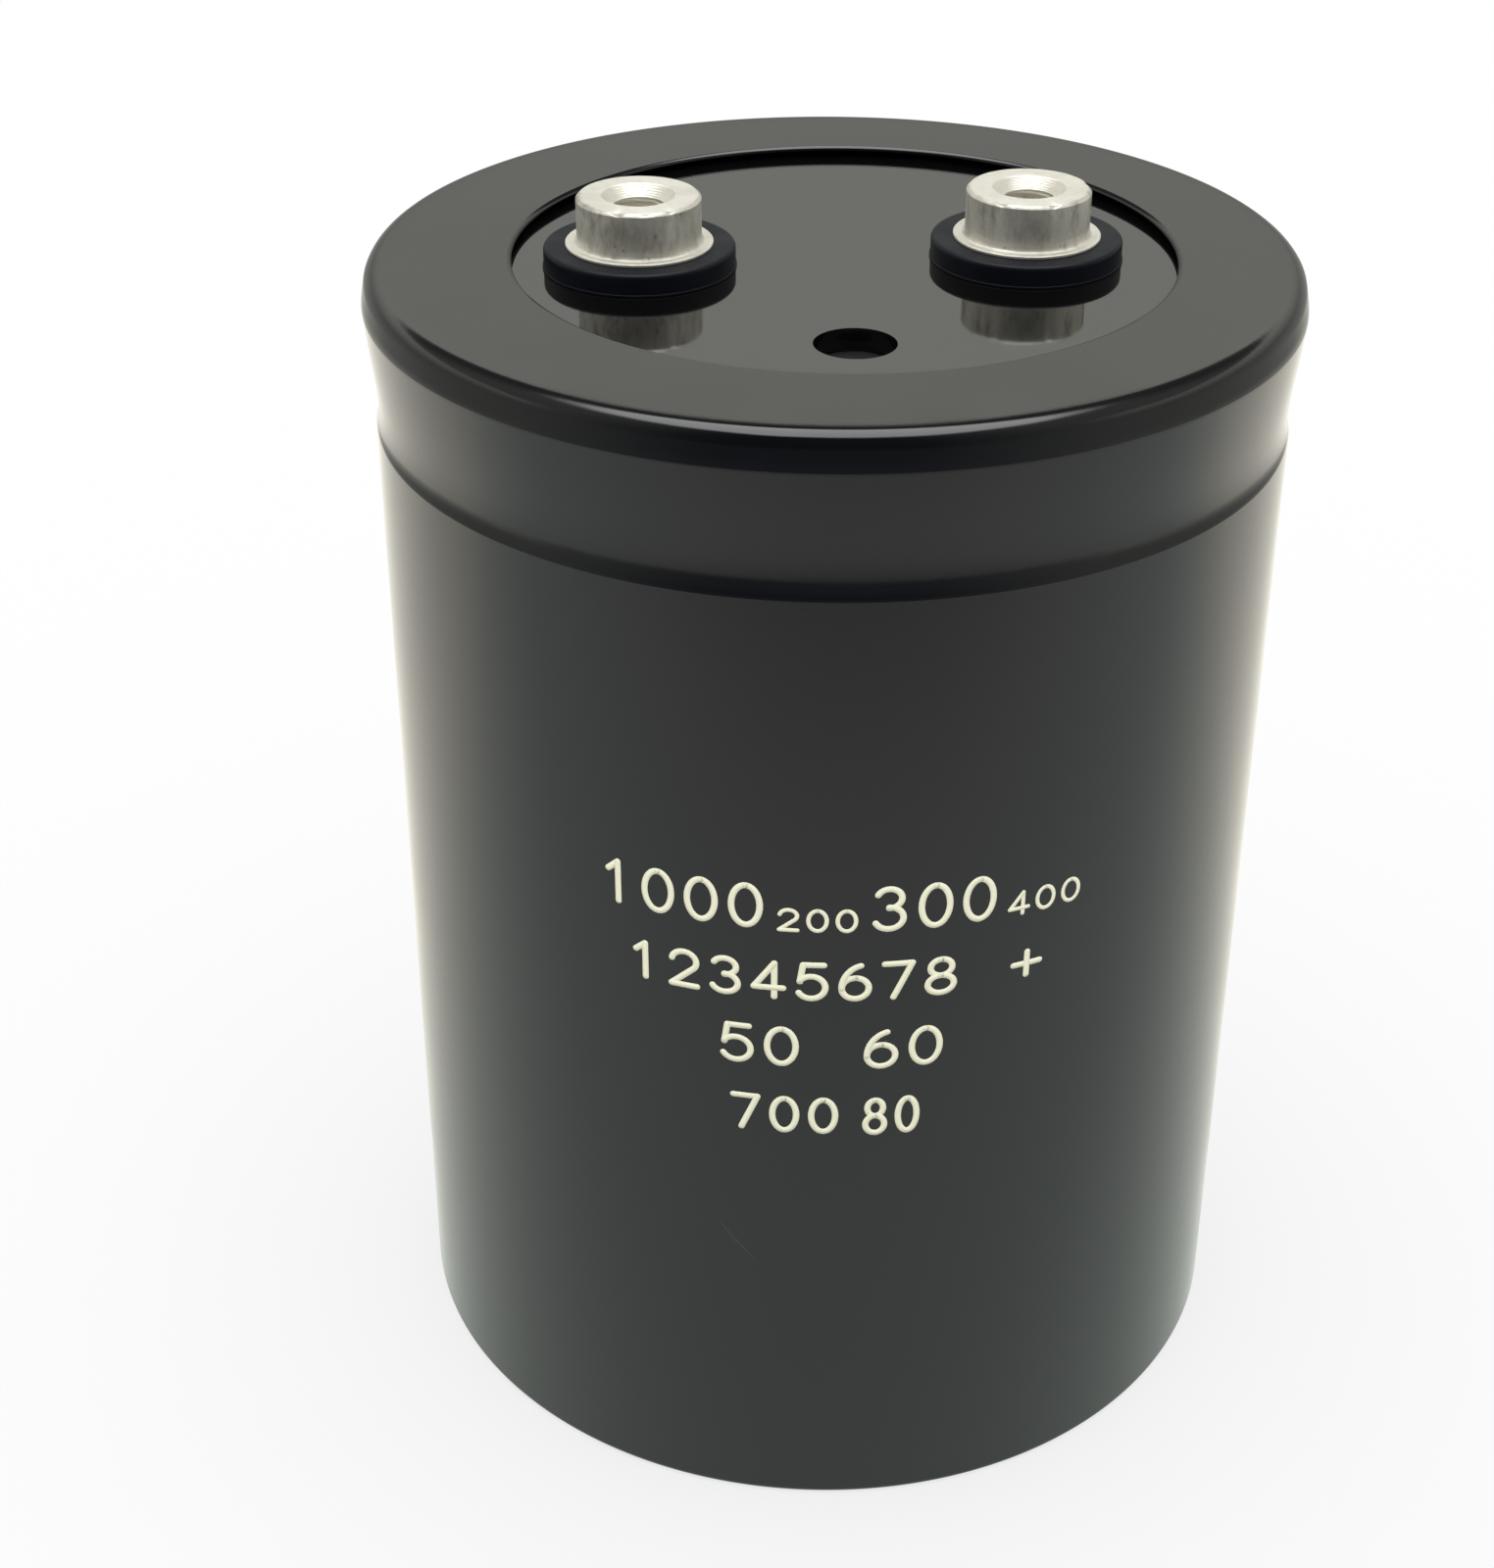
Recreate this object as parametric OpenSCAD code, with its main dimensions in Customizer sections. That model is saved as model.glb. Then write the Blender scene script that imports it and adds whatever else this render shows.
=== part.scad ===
// Screw-terminal aluminium electrolytic capacitor in a black shrink sleeve.
// It stands on its base. The origin is the centre of the base and +Z is up.
// The terminals lie along X, the positive one at +X, and the vent is towards -Y.

/* [Can] */
// Outside diameter of the drawn aluminium can
can_d = 75.3; // [70:0.1:90]
// Height from the bench to the top of the sleeve
case_h = 102.1; // [80:0.1:150]
// Thickness of the can's wall
can_wall = 0.8; // [0.6:0.05:1.1]
// Thickness of the can's floor
can_floor_t = 1.2; // [0.8:0.1:2]
// Outside radius of the can's bottom corner
can_corner_r = 1; // [0.8:0.1:3]

/* [Rolled groove] */
// Distance from the top of the sleeve down to the middle of the groove
groove_drop = 10; // [9.4:0.1:14]
// Height of the groove at the can's surface
groove_h = 6.4; // [4:0.1:6.8]
// Depth of the groove
groove_depth = 2.4; // [1.5:0.1:2.6]

/* [Curled rim] */
// How far the rim stands out past the can's body
rim_swell = 0.56; // [0.2:0.02:1]
// Distance from the top of the sleeve down to the rim's widest place
rim_drop = 2.9; // [2.6:0.1:4]
// Radius of the sleeve over the rim's shoulder
shoulder_r = 1.5; // [1.4:0.05:1.9]
// Lean of the rim's side, in degrees
rim_lean = 7.5; // [3:0.5:12]
// Radial width of the curl that holds the deck
curl_w = 6; // [5:0.1:7]
// How deep the curled edge bites into the gasket
curl_bite = 0.6; // [0.3:0.1:0.9]

/* [Sleeve] */
// Thickness of the shrink sleeve
sleeve_t = 0.4; // [0.2:0.05:0.5]
// Clear width between a collar and the opening in the sleeve's upper lap
lap_clear = 3.41; // [2.5:0.1:4]
// Sideways shift of the lap's opening, along X
lap_shift_x = 0.86; // [-1:0.02:1]
// Sideways shift of the lap's opening, along Y
lap_shift_y = 0.33; // [-1:0.02:1]
// Width of the lap under the base
base_lap_w = 5; // [4:0.1:10]
// Outside radius of the sleeve's bottom corner
base_corner_r = 0.6; // [0.5:0.1:1.6]
// How far the sleeve sinks into the rolled groove
sleeve_dip = 0.4; // [0.1:0.01:0.5]
// Height from the groove's lower edge up to the sleeve's deepest place
dip_rise = 2; // [1.5:0.1:3]
// Thickness of the insulating disc under the can
base_disc_t = 0.5; // [0.3:0.1:1]

/* [Deck] */
// Distance from the top of the sleeve down to the deck
deck_drop = 0.95; // [0.8:0.05:1.2]
// Overall thickness of the deck
deck_t = 11; // [10.5:0.1:14]
// Thickness of the rubber gasket under the curl
gasket_t = 1.7; // [1.4:0.1:2.2]
// Depth of the pocket moulded into the underside
pocket_depth = 4; // [2:0.1:5]
// Width of the skirt round the pocket
skirt_w = 2.4; // [1.5:0.1:4]
// Radius of each terminal boss in the pocket
boss_r = 8.4; // [7.5:0.1:9]
// Thickness of the barrier rib between the terminals
barrier_t = 3; // [2:0.1:5]
// Rounding of the deck's moulded edges
deck_edge_r = 0.5; // [0.2:0.1:0.8]

/* [Terminals] */
// Distance between the terminals' centres
terminal_pitch = 31.8; // [29:0.1:32.5]
// Diameter of the post above the collar
post_d = 10.2; // [9.6:0.1:11]
// Height of the post above the collar
post_h = 4.05; // [3:0.05:8]
// Chamfer round the post's top
post_chamfer = 0.25; // [0.1:0.05:0.5]
// Diameter of the thin flange that holds the collar down
flange_d = 12.1; // [11.2:0.1:13]
// Thickness of the flange
flange_t = 0.25; // [0.2:0.05:0.8]
// Diameter of the shank through the deck
shank_d = 9.2; // [8.4:0.1:9.4]
// Distance across the shank's two flats
shank_flats = 7.8; // [7.5:0.1:8.2]
// Diameter of the threaded hole inside its thread
thread_hole_d = 4.2; // [3.3:0.1:5]
// Depth of the threaded hole below the post's top
thread_depth = 9.5; // [7:0.1:11]
// Diameter of the countersink at the hole's mouth
countersink_d = 6; // [5.2:0.1:7]
// Diameter of the black collar under the post
collar_d = 15.9; // [14:0.1:16.2]
// Thickness of the collar
collar_t = 1.8; // [1:0.1:2.4]
// Rounding of the collar's edges
collar_edge_r = 0.35; // [0.1:0.05:0.45]

/* [Terminal feet] */
// Diameter of the tenon that is peened over the washer
tenon_d = 5.2; // [4:0.1:6]
// Diameter of the peened head
peen_d = 7.6; // [7:0.1:8.4]
// Height of the peened head
peen_h = 1; // [0.6:0.1:1.4]
// Diameter of the washer under the deck
foot_washer_d = 13.6; // [12:0.1:14]
// Thickness of that washer
foot_washer_t = 1; // [0.6:0.1:1.5]

/* [Safety vent] */
// Diameter of the vent hole
vent_d = 6.5; // [5:0.1:7]
// Distance of the vent hole from the centre
vent_offset = 18.7; // [17:0.1:20]
// Depth of the plug's top below the deck
vent_recess = 1.8; // [1:0.1:2.5]
// Thickness of the plug's head
vent_head_t = 2.4; // [1.5:0.1:3]
// Diameter of the plug's stem
vent_stem_d = 3.6; // [3:0.1:4]
// Diameter of the boss round the vent in the deck's pocket
vent_boss_d = 12; // [10:0.1:14]
// Diameter of the dimple that leaves a thin skin in the plug's middle
vent_dimple_d = 2.4; // [1.5:0.1:3]
// Depth of the dimple
vent_dimple_h = 1.4; // [0.8:0.1:2]

/* [Winding] */
// Width of the annular gap between the taped roll and the can
roll_gap = 1.9; // [1.4:0.1:4]
// Thickness of the tape round the roll
wrap_t = 0.3; // [0.1:0.05:0.6]
// Diameter of the hole that the winding mandrel leaves
mandrel_d = 8; // [5:0.1:10]
// How far the paper's edges stand out past the foil at the roll's ends
paper_margin = 0.6; // [0.3:0.1:1.2]
// Distance from one proud paper edge to the next, many turns apart
paper_pitch = 2; // [1.6:0.1:3]
// Width of a proud paper edge
paper_edge_w = 1; // [0.6:0.1:1.2]
// Room for the tabs between the roll and the deck
headroom = 9; // [7.5:0.1:14]
// Thickness of the fibre disc over the roll
top_insulator_t = 0.8; // [0.5:0.1:1.5]
// Thickness of the fibre disc under the roll
bottom_insulator_t = 0.8; // [0.8:0.1:2]
// Height of the potting ring round the roll's foot
anchor_h = 18; // [5:0.5:40]

/* [Foil tabs] */
// Thickness of a tab
tab_t = 0.35; // [0.2:0.05:0.5]
// Width of a tab
tab_w = 7; // [6.8:0.1:8.5]
// Distance of each tab's leg from its terminal's axis
tab_reach = 8; // [6:0.1:9]
// Bend radius in the middle of a tab
tab_bend_r = 1.2; // [0.8:0.1:1.4]
// Length of the tab's foot past the terminal's axis
tab_foot = 4.5; // [4:0.1:5.5]
// Depth to which a tab runs down into the roll
tab_root = 12; // [5:0.5:25]

/* [Clearances] */
// Gap between the sleeve and the can
sleeve_fit = 0.05; // [0.02:0.01:0.1]
// Gap round the deck, its gasket and the pieces inside the can
seat_fit = 0.15; // [0.05:0.05:0.25]
// Gap round a shank, a tenon or a tab where it passes through a piece
pass_fit = 0.1; // [0.05:0.05:0.2]

/* [Hidden] */

// Smoothness of turned and moulded pieces
round_steps = 128;
// Straight pieces in a rounded corner and in the neck's curve
corner_steps = 8;
neck_steps = 24;
// Overshoot of a cut past the face that it goes through
cut = 1;
// Least radius of an inside corner
min_corner_r = 0.2;

can_r = can_d / 2;
can_inner_r = can_r - can_wall;
sleeve_offset = sleeve_fit + sleeve_t;
sleeve_r = can_r + sleeve_offset;
rim_r = sleeve_r + rim_swell;
rim_z = case_h - rim_drop;
base_open_r = sleeve_r - base_lap_w;
base_inner_corner_r = max(base_corner_r - sleeve_t, min_corner_r);

// The can stands on the insulating disc, which lies on the sleeve's lower lap
can_z = sleeve_t + base_disc_t;
can_floor_z = can_z + can_floor_t;
can_inner_corner_r = max(can_corner_r - can_wall, min_corner_r);
curl_top_z = case_h - sleeve_offset;
curl_under_z = curl_top_z - can_wall;
curl_inner_r = rim_r - sleeve_offset - curl_w;

// The groove is pressed in by a round tool, so its section is a circle's arc
groove_z = case_h - groove_drop;
groove_low_z = groove_z - groove_h / 2;
neck_h = rim_z - groove_low_z;
groove_tool_r = (pow(groove_h / 2, 2) + pow(groove_depth, 2)) / (2 * groove_depth);
groove_tool_x = can_r - groove_depth + groove_tool_r;
groove_ridge_r = groove_tool_r + can_wall;

// The shoulder's arc ends on a side that leans out down to the rim's widest place
shoulder_z = case_h - shoulder_r;
side_h = shoulder_z + shoulder_r * sin(rim_lean) - rim_z;
shoulder_x = rim_r - side_h * tan(rim_lean) - shoulder_r * cos(rim_lean);

// The deck's flange rests on the ridge that the groove makes inside the can
deck_r = can_inner_r - seat_fit;
deck_top_z = case_h - deck_drop;
deck_bottom_z = deck_top_z - deck_t;
flange_under_z = groove_z + sqrt(pow(groove_ridge_r, 2) - pow(groove_tool_x - deck_r, 2));
rebate_z = curl_under_z - gasket_t;
island_r = curl_inner_r - 2 * deck_edge_r - seat_fit;
spigot_r = groove_tool_x - groove_ridge_r - 2 * seat_fit;
pocket_r = spigot_r - skirt_w;

terminal_x = terminal_pitch / 2;
lap_open_r = terminal_x + collar_d / 2 + lap_clear;
collar_top_z = deck_top_z + collar_t;
post_foot_z = collar_top_z + flange_t;
post_top_z = collar_top_z + post_h;
countersink_depth = (countersink_d - thread_hole_d) / 2;
drill_point_h = thread_hole_d / 2 / tan(59);

// Under the deck the washer comes first, then the outer tab, then the inner one
washer_z = deck_bottom_z - foot_washer_t;
outer_tab_z = washer_z - tab_t;
inner_tab_z = outer_tab_z - tab_t;
peen_z = inner_tab_z - peen_h;

roll_z = can_floor_z + bottom_insulator_t;
roll_top_z = deck_bottom_z - headroom;
wrap_r = can_inner_r - roll_gap;
roll_r = wrap_r - wrap_t;
anchor_z = can_floor_z + max(bottom_insulator_t, can_inner_corner_r);

vent_seat_z = deck_top_z - vent_recess - vent_head_t;

// Points along an arc in the section plane, from one angle to another
function arc(centre, radius, from, to) = [
    for (i = [0:corner_steps])
        centre + radius * [cos(from + (to - from) * i / corner_steps),
                           sin(from + (to - from) * i / corner_steps)]
];

// Radius of the sleeve at a height above the groove's lower edge: a dip, and a flare up to the rim
function neck_r(h) =
    let (u = h / dip_rise, v = h / neck_h)
    sleeve_r + rim_swell * pow(v, 1.5) - sleeve_dip * (1 - v) * u * exp(1 - u);

// The sleeve's curve from a height above the groove's lower edge up to the rim, moved inwards by inset
function neck_points(from_h, inset) = [
    for (i = [0:neck_steps])
        let (h = from_h + (neck_h - from_h) * i / neck_steps)
        [neck_r(h) - inset, groove_low_z + h]
];

// The rim's shoulder and top, moved inwards by inset, with a radius of at least min_corner_r
function shoulder_points(inset) =
    let (radius = max(shoulder_r - inset, min_corner_r))
    concat(
        arc([shoulder_x + shoulder_r - inset - radius, case_h - inset - radius], radius, rim_lean, 90),
        [[0, case_h - inset]]
    );

// Outline of the sleeve's outside, moved inwards by inset, with its bottom corner's radius
function sleeve_outline(inset, corner_r) = concat(
    [[0, inset]],
    arc([sleeve_r - inset - corner_r, inset + corner_r], corner_r, -90, 0),
    neck_points(0, inset),
    shoulder_points(inset)
);

// Outline of the can, moved inwards by inset and with its floor at floor_z
function can_outline(inset, floor_z, corner_r) = concat(
    [[0, floor_z]],
    arc([can_r - inset - corner_r, floor_z + corner_r], corner_r, -90, 0),
    [[can_r - inset, groove_z]],
    neck_points(groove_h, sleeve_offset + inset),
    shoulder_points(sleeve_offset + inset)
);

// A ring or disc with rounded edges, from height z upwards
module rounded_ring(outer_r, inner_r, z, h, edge_r) {
    rotate_extrude($fn = round_steps)
        polygon(concat(
            arc([outer_r - edge_r, z + edge_r], edge_r, -90, 0),
            arc([outer_r - edge_r, z + h - edge_r], edge_r, 0, 90),
            [[inner_r, z + h], [inner_r, z]]
        ));
}

// A plain ring from height z upwards
module ring(outer_r, inner_r, z, h) {
    translate([0, 0, z])
        difference() {
            cylinder(r = outer_r, h = h, $fn = round_steps);
            translate([0, 0, -cut])
                cylinder(r = inner_r, h = h + 2 * cut, $fn = round_steps);
        }
}

// The curled edge that bites into the gasket, grown by clearance
module curl_lip(clearance) {
    lip_x = curl_inner_r + can_wall / 2;
    nose_z = curl_under_z - curl_bite + can_wall / 2;
    half_w = can_wall / 2 + clearance;
    translate([lip_x - half_w, nose_z])
        square([2 * half_w, curl_top_z - nose_z - can_wall / 4]);
    translate([lip_x, nose_z])
        circle(r = half_w, $fn = round_steps);
}

// A terminal's shank with two flats, grown by clearance
module shank(z, h, clearance) {
    translate([0, 0, z])
        intersection() {
            cylinder(d = shank_d + 2 * clearance, h = h, $fn = round_steps);
            translate([-shank_d, -shank_flats / 2 - clearance, 0])
                cube([2 * shank_d, shank_flats + 2 * clearance, h]);
        }
}

module at_terminal(side) {
    translate([side * terminal_x, 0, 0])
        children();
}

module sleeve() {
    color([0.11, 0.12, 0.12])
        difference() {
            rotate_extrude($fn = round_steps)
                difference() {
                    polygon(sleeve_outline(0, base_corner_r));
                    polygon(sleeve_outline(sleeve_t, base_inner_corner_r));
                }
            translate([lap_shift_x, lap_shift_y, case_h - 2 * sleeve_t])
                cylinder(r = lap_open_r, h = 2 * sleeve_t + cut, $fn = round_steps);
            translate([0, 0, -cut])
                cylinder(r = base_open_r, h = 2 * sleeve_t + cut, $fn = round_steps);
        }
}

module base_disc() {
    color([0.16, 0.16, 0.15])
        translate([0, 0, sleeve_t])
            cylinder(
                r = sleeve_r - sleeve_t - base_inner_corner_r - seat_fit,
                h = base_disc_t, $fn = round_steps
            );
}

module can_section() {
    difference() {
        union() {
            difference() {
                polygon(can_outline(0, can_z, can_corner_r));
                polygon(can_outline(can_wall, can_floor_z, can_inner_corner_r));
                translate([0, curl_under_z - cut])
                    square([curl_inner_r, can_wall + 2 * cut]);
            }
            intersection() {
                translate([groove_tool_x, groove_z])
                    circle(r = groove_ridge_r, $fn = round_steps);
                polygon(can_outline(0, can_z, can_corner_r));
            }
            curl_lip(0);
        }
        translate([groove_tool_x, groove_z])
            circle(r = groove_tool_r, $fn = round_steps);
    }
}

module can() {
    color([0.78, 0.79, 0.8])
        rotate_extrude($fn = round_steps)
            can_section();
}

module deck_gasket() {
    color([0.07, 0.07, 0.07])
        rotate_extrude($fn = round_steps)
            difference() {
                translate([island_r + seat_fit, rebate_z])
                    square([deck_r - island_r - seat_fit, gasket_t]);
                curl_lip(pass_fit);
            }
}

// The deck before its holes: an island, a flange with its rebate, and a spigot
module deck_blank() {
    rotate_extrude($fn = round_steps)
        polygon(concat(
            [[0, deck_bottom_z]],
            arc([spigot_r - deck_edge_r, deck_bottom_z + deck_edge_r], deck_edge_r, -90, 0),
            [[spigot_r, flange_under_z], [deck_r, flange_under_z]],
            [[deck_r, rebate_z], [island_r, rebate_z]],
            arc([island_r - deck_edge_r, deck_top_z - deck_edge_r], deck_edge_r, 0, 90),
            [[0, deck_top_z]]
        ));
}

// The pocket in the underside, left standing at the bosses and the barrier rib
module deck_pocket() {
    translate([0, 0, deck_bottom_z - cut])
        difference() {
            cylinder(r = pocket_r, h = pocket_depth + cut, $fn = round_steps);
            for (side = [-1, 1])
                translate([side * terminal_x, 0, 0])
                    cylinder(r = boss_r, h = pocket_depth + cut, $fn = round_steps);
            translate([0, -vent_offset, 0])
                cylinder(d = vent_boss_d, h = pocket_depth + cut, $fn = round_steps);
            translate([-barrier_t / 2, -pocket_r, 0])
                cube([barrier_t, 2 * pocket_r, pocket_depth + cut]);
        }
}

module vent_hole() {
    translate([0, -vent_offset, vent_seat_z])
        cylinder(d = vent_d, h = deck_top_z - vent_seat_z + cut, $fn = round_steps);
    translate([0, -vent_offset, deck_bottom_z - cut])
        cylinder(d = vent_stem_d, h = deck_t + cut, $fn = round_steps);
}

module deck() {
    color([0.06, 0.06, 0.055])
        difference() {
            deck_blank();
            deck_pocket();
            vent_hole();
            for (side = [-1, 1])
                at_terminal(side)
                    shank(deck_bottom_z - cut, deck_t + 2 * cut, pass_fit);
        }
}

module vent_plug() {
    plug_top_z = deck_top_z - vent_recess;
    stem_h = plug_top_z - deck_bottom_z;
    color([0.05, 0.05, 0.05])
        translate([0, -vent_offset, 0])
            difference() {
                union() {
                    translate([0, 0, vent_seat_z])
                        cylinder(d = vent_d - pass_fit, h = vent_head_t, $fn = round_steps);
                    translate([0, 0, deck_bottom_z])
                        cylinder(d = vent_stem_d - pass_fit, h = stem_h, $fn = round_steps);
                }
                translate([0, 0, plug_top_z - vent_dimple_h])
                    cylinder(d = vent_dimple_d, h = vent_dimple_h + cut, $fn = round_steps);
            }
}

// The turned post with its flange, before the threaded hole is made
module post() {
    rotate_extrude($fn = round_steps)
        polygon([
            [0, collar_top_z],
            [flange_d / 2, collar_top_z],
            [flange_d / 2, post_foot_z],
            [post_d / 2, post_foot_z],
            [post_d / 2, post_top_z - post_chamfer],
            [post_d / 2 - post_chamfer, post_top_z],
            [0, post_top_z]
        ]);
}

// The threaded hole with its drill point and its countersunk mouth, in one section
module thread_hole() {
    hole_r = thread_hole_d / 2;
    mouth_r = countersink_d / 2;
    bottom_z = post_top_z - thread_depth;
    rotate_extrude($fn = round_steps)
        polygon([
            [0, bottom_z - drill_point_h],
            [hole_r, bottom_z],
            [hole_r, post_top_z - countersink_depth],
            [mouth_r + cut, post_top_z + cut],
            [0, post_top_z + cut]
        ]);
}

module terminal(side) {
    color([0.8, 0.79, 0.76])
        at_terminal(side)
            difference() {
                union() {
                    post();
                    shank(deck_bottom_z, post_foot_z - deck_bottom_z, 0);
                    translate([0, 0, peen_z])
                        cylinder(d = tenon_d, h = post_foot_z - peen_z, $fn = round_steps);
                    translate([0, 0, peen_z])
                        cylinder(d = peen_d, h = peen_h, $fn = round_steps);
                }
                thread_hole();
            }
}

module collar(side) {
    color([0.04, 0.045, 0.06])
        at_terminal(side)
            rounded_ring(collar_d / 2, shank_d / 2 + pass_fit, deck_top_z, collar_t, collar_edge_r);
}

module foot_washer(side) {
    color([0.75, 0.75, 0.76])
        at_terminal(side)
            ring(foot_washer_d / 2, tenon_d / 2 + pass_fit, washer_z, foot_washer_t);
}

// A foil strip that rises out of the roll, bends and lies flat under the terminal.
// The leg stands at -tab_reach in the tab's own X, and the foot's top is at foot_z.
module tab_strip(foot_z) {
    root_z = roll_top_z - tab_root;
    foot_top_z = foot_z + tab_t;
    bend_z = foot_top_z - tab_bend_r;
    bend_x = tab_bend_r - tab_reach;
    difference() {
        translate([0, tab_w / 2, 0])
            rotate([90, 0, 0])
                linear_extrude(tab_w)
                    polygon(concat(
                        [[-tab_reach, root_z]],
                        arc([bend_x, bend_z], tab_bend_r, 180, 90),
                        [[tab_foot, foot_top_z], [tab_foot, foot_z]],
                        arc([bend_x, bend_z], tab_bend_r - tab_t, 90, 180),
                        [[tab_t - tab_reach, root_z]]
                    ));
        translate([0, 0, foot_z - cut])
            cylinder(d = tenon_d + 2 * pass_fit, h = tab_t + 2 * cut, $fn = round_steps);
    }
}

// Places a tab: the inner leg is on the side of the centre, the outer one mirrors it
module place_tab(side, inner) {
    at_terminal(side)
        mirror([side > 0 == inner ? 0 : 1, 0, 0])
            children();
}

module tab(side, inner) {
    color([0.82, 0.83, 0.85])
        place_tab(side, inner)
            tab_strip(inner ? inner_tab_z : outer_tab_z);
}

// The room that the four tabs' legs need, from height z upwards
module tab_slots(z, h) {
    for (side = [-1, 1], inner = [true, false])
        place_tab(side, inner)
            translate([-tab_reach - pass_fit, -tab_w / 2 - pass_fit, z])
                cube([tab_t + 2 * pass_fit, tab_w + 2 * pass_fit, h]);
}

module top_insulator() {
    color([0.72, 0.62, 0.45])
        difference() {
            translate([0, 0, roll_top_z])
                cylinder(r = wrap_r, h = top_insulator_t, $fn = round_steps);
            tab_slots(roll_top_z - cut, top_insulator_t + 2 * cut);
        }
}

// Section of the roll: paper edges stand out past the foil at both of its ends
module roll_section() {
    hole_r = mandrel_d / 2;
    edges = floor((roll_r - hole_r - paper_edge_w) / paper_pitch);
    translate([hole_r, roll_z + paper_margin])
        square([roll_r - hole_r, roll_top_z - roll_z - 2 * paper_margin]);
    for (i = [0:edges])
        translate([roll_r - paper_edge_w - i * paper_pitch, roll_z])
            square([paper_edge_w, roll_top_z - roll_z]);
}

module winding() {
    color([0.7, 0.66, 0.58])
        difference() {
            rotate_extrude($fn = round_steps)
                roll_section();
            tab_slots(roll_top_z - tab_root, tab_root + cut);
        }
}

module winding_wrap() {
    color([0.85, 0.78, 0.55])
        ring(wrap_r, roll_r, roll_z, roll_top_z - roll_z);
}

module bottom_insulator() {
    color([0.72, 0.62, 0.45])
        translate([0, 0, can_floor_z])
            cylinder(
                r = can_inner_r - can_inner_corner_r - seat_fit,
                h = bottom_insulator_t,
                $fn = round_steps
            );
}

module anchor_ring() {
    color([0.2, 0.15, 0.1])
        ring(can_inner_r - sleeve_fit, wrap_r + sleeve_fit, anchor_z, anchor_h);
}

sleeve();
base_disc();
can();
deck_gasket();
deck();
vent_plug();
terminal(1);  // terminal_positive
terminal(-1);  // terminal_negative
collar(1);  // collar_positive
collar(-1);  // collar_negative
foot_washer(1);  // washer_positive
foot_washer(-1);  // washer_negative
tab(1, true);  // tab_positive_inner
tab(1, false);  // tab_positive_outer
tab(-1, true);  // tab_negative_inner
tab(-1, false);  // tab_negative_outer
top_insulator();
winding();
winding_wrap();
bottom_insulator();
anchor_ring();
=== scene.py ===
"""Screw terminal capacitor: finishes, fine surfaces, print and studio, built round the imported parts.

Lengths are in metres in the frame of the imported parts: +Z is up, the origin is the centre of the base,
the positive terminal is at +X and the vent is towards -Y.
"""

import math

import bpy
import numpy as np
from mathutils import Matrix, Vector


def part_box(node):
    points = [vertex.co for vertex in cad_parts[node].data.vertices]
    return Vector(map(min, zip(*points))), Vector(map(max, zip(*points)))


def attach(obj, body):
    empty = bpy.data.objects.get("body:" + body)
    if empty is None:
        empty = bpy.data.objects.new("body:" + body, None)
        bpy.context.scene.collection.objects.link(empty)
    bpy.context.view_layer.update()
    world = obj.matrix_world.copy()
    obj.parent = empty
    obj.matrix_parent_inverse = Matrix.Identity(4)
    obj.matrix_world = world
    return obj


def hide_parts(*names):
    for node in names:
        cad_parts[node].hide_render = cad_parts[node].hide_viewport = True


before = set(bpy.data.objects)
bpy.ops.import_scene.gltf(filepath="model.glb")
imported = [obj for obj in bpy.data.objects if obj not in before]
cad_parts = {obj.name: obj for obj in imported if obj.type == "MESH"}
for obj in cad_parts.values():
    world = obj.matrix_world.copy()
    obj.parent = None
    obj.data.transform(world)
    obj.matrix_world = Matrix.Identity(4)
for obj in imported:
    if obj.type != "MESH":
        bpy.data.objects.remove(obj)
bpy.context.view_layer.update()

bl_info = {
    "name": "Screw Terminal Capacitor",
    "version": (1, 0, 0),
    "blender": (4, 5, 0),
    "location": "3D View > Sidebar > Capacitor",
    "description": "Builds the sleeve, terminals, collars, print and studio of a screw terminal capacitor",
    "category": "Object",
}

MM = 0.001
WHITE = (1.0, 1.0, 1.0)
BLACK = (0.0, 0.0, 0.0)


def span(node):
    """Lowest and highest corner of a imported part, as arrays."""
    low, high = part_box(node)
    return np.array(low), np.array(high)


def half_width(node):
    """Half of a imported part's width along X."""
    low, high = span(node)
    return float(high[0] - low[0]) / 2


def middle_of(node):
    """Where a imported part's middle lies along X and along Y."""
    low, high = span(node)
    return float(low[0] + high[0]) / 2, float(low[1] + high[1]) / 2


def foot_of(node):
    """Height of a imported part's lowest point."""
    return float(span(node)[0][2])


def top_of(node):
    """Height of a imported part's highest point."""
    return float(span(node)[1][2])


# Settings


def length(name, description, mm):
    """A length whose default is given in millimetres and kept in metres."""
    return bpy.props.FloatProperty(
        name=name, description=description, default=mm * MM, unit="LENGTH", precision=5
    )


def angle(name, description, degrees):
    """An angle whose default is given in degrees and kept in radians."""
    return bpy.props.FloatProperty(
        name=name, description=description, default=math.radians(degrees), unit="ROTATION", subtype="ANGLE"
    )


def angles(name, description, degrees):
    """Two angles, from and to, whose defaults are given in degrees and kept in radians."""
    default = [math.radians(d) for d in degrees]
    return bpy.props.FloatVectorProperty(
        name=name, description=description, default=default, size=2, unit="ROTATION"
    )


def spot(name, description, mm):
    """A place whose default is given in millimetres and kept in metres."""
    default = [v * MM for v in mm]
    return bpy.props.FloatVectorProperty(
        name=name, description=description, default=default, unit="LENGTH", subtype="XYZ", precision=5
    )


def share(name, description, value):
    """A plain number without a unit."""
    return bpy.props.FloatProperty(name=name, description=description, default=value)


def count(name, description, value):
    """A whole number of steps."""
    return bpy.props.IntProperty(name=name, description=description, default=value, min=3)


def colour(name, description, value):
    """A linear colour."""
    return bpy.props.FloatVectorProperty(
        name=name, description=description, default=value, size=3, min=0, max=1, subtype="COLOR"
    )


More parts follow.
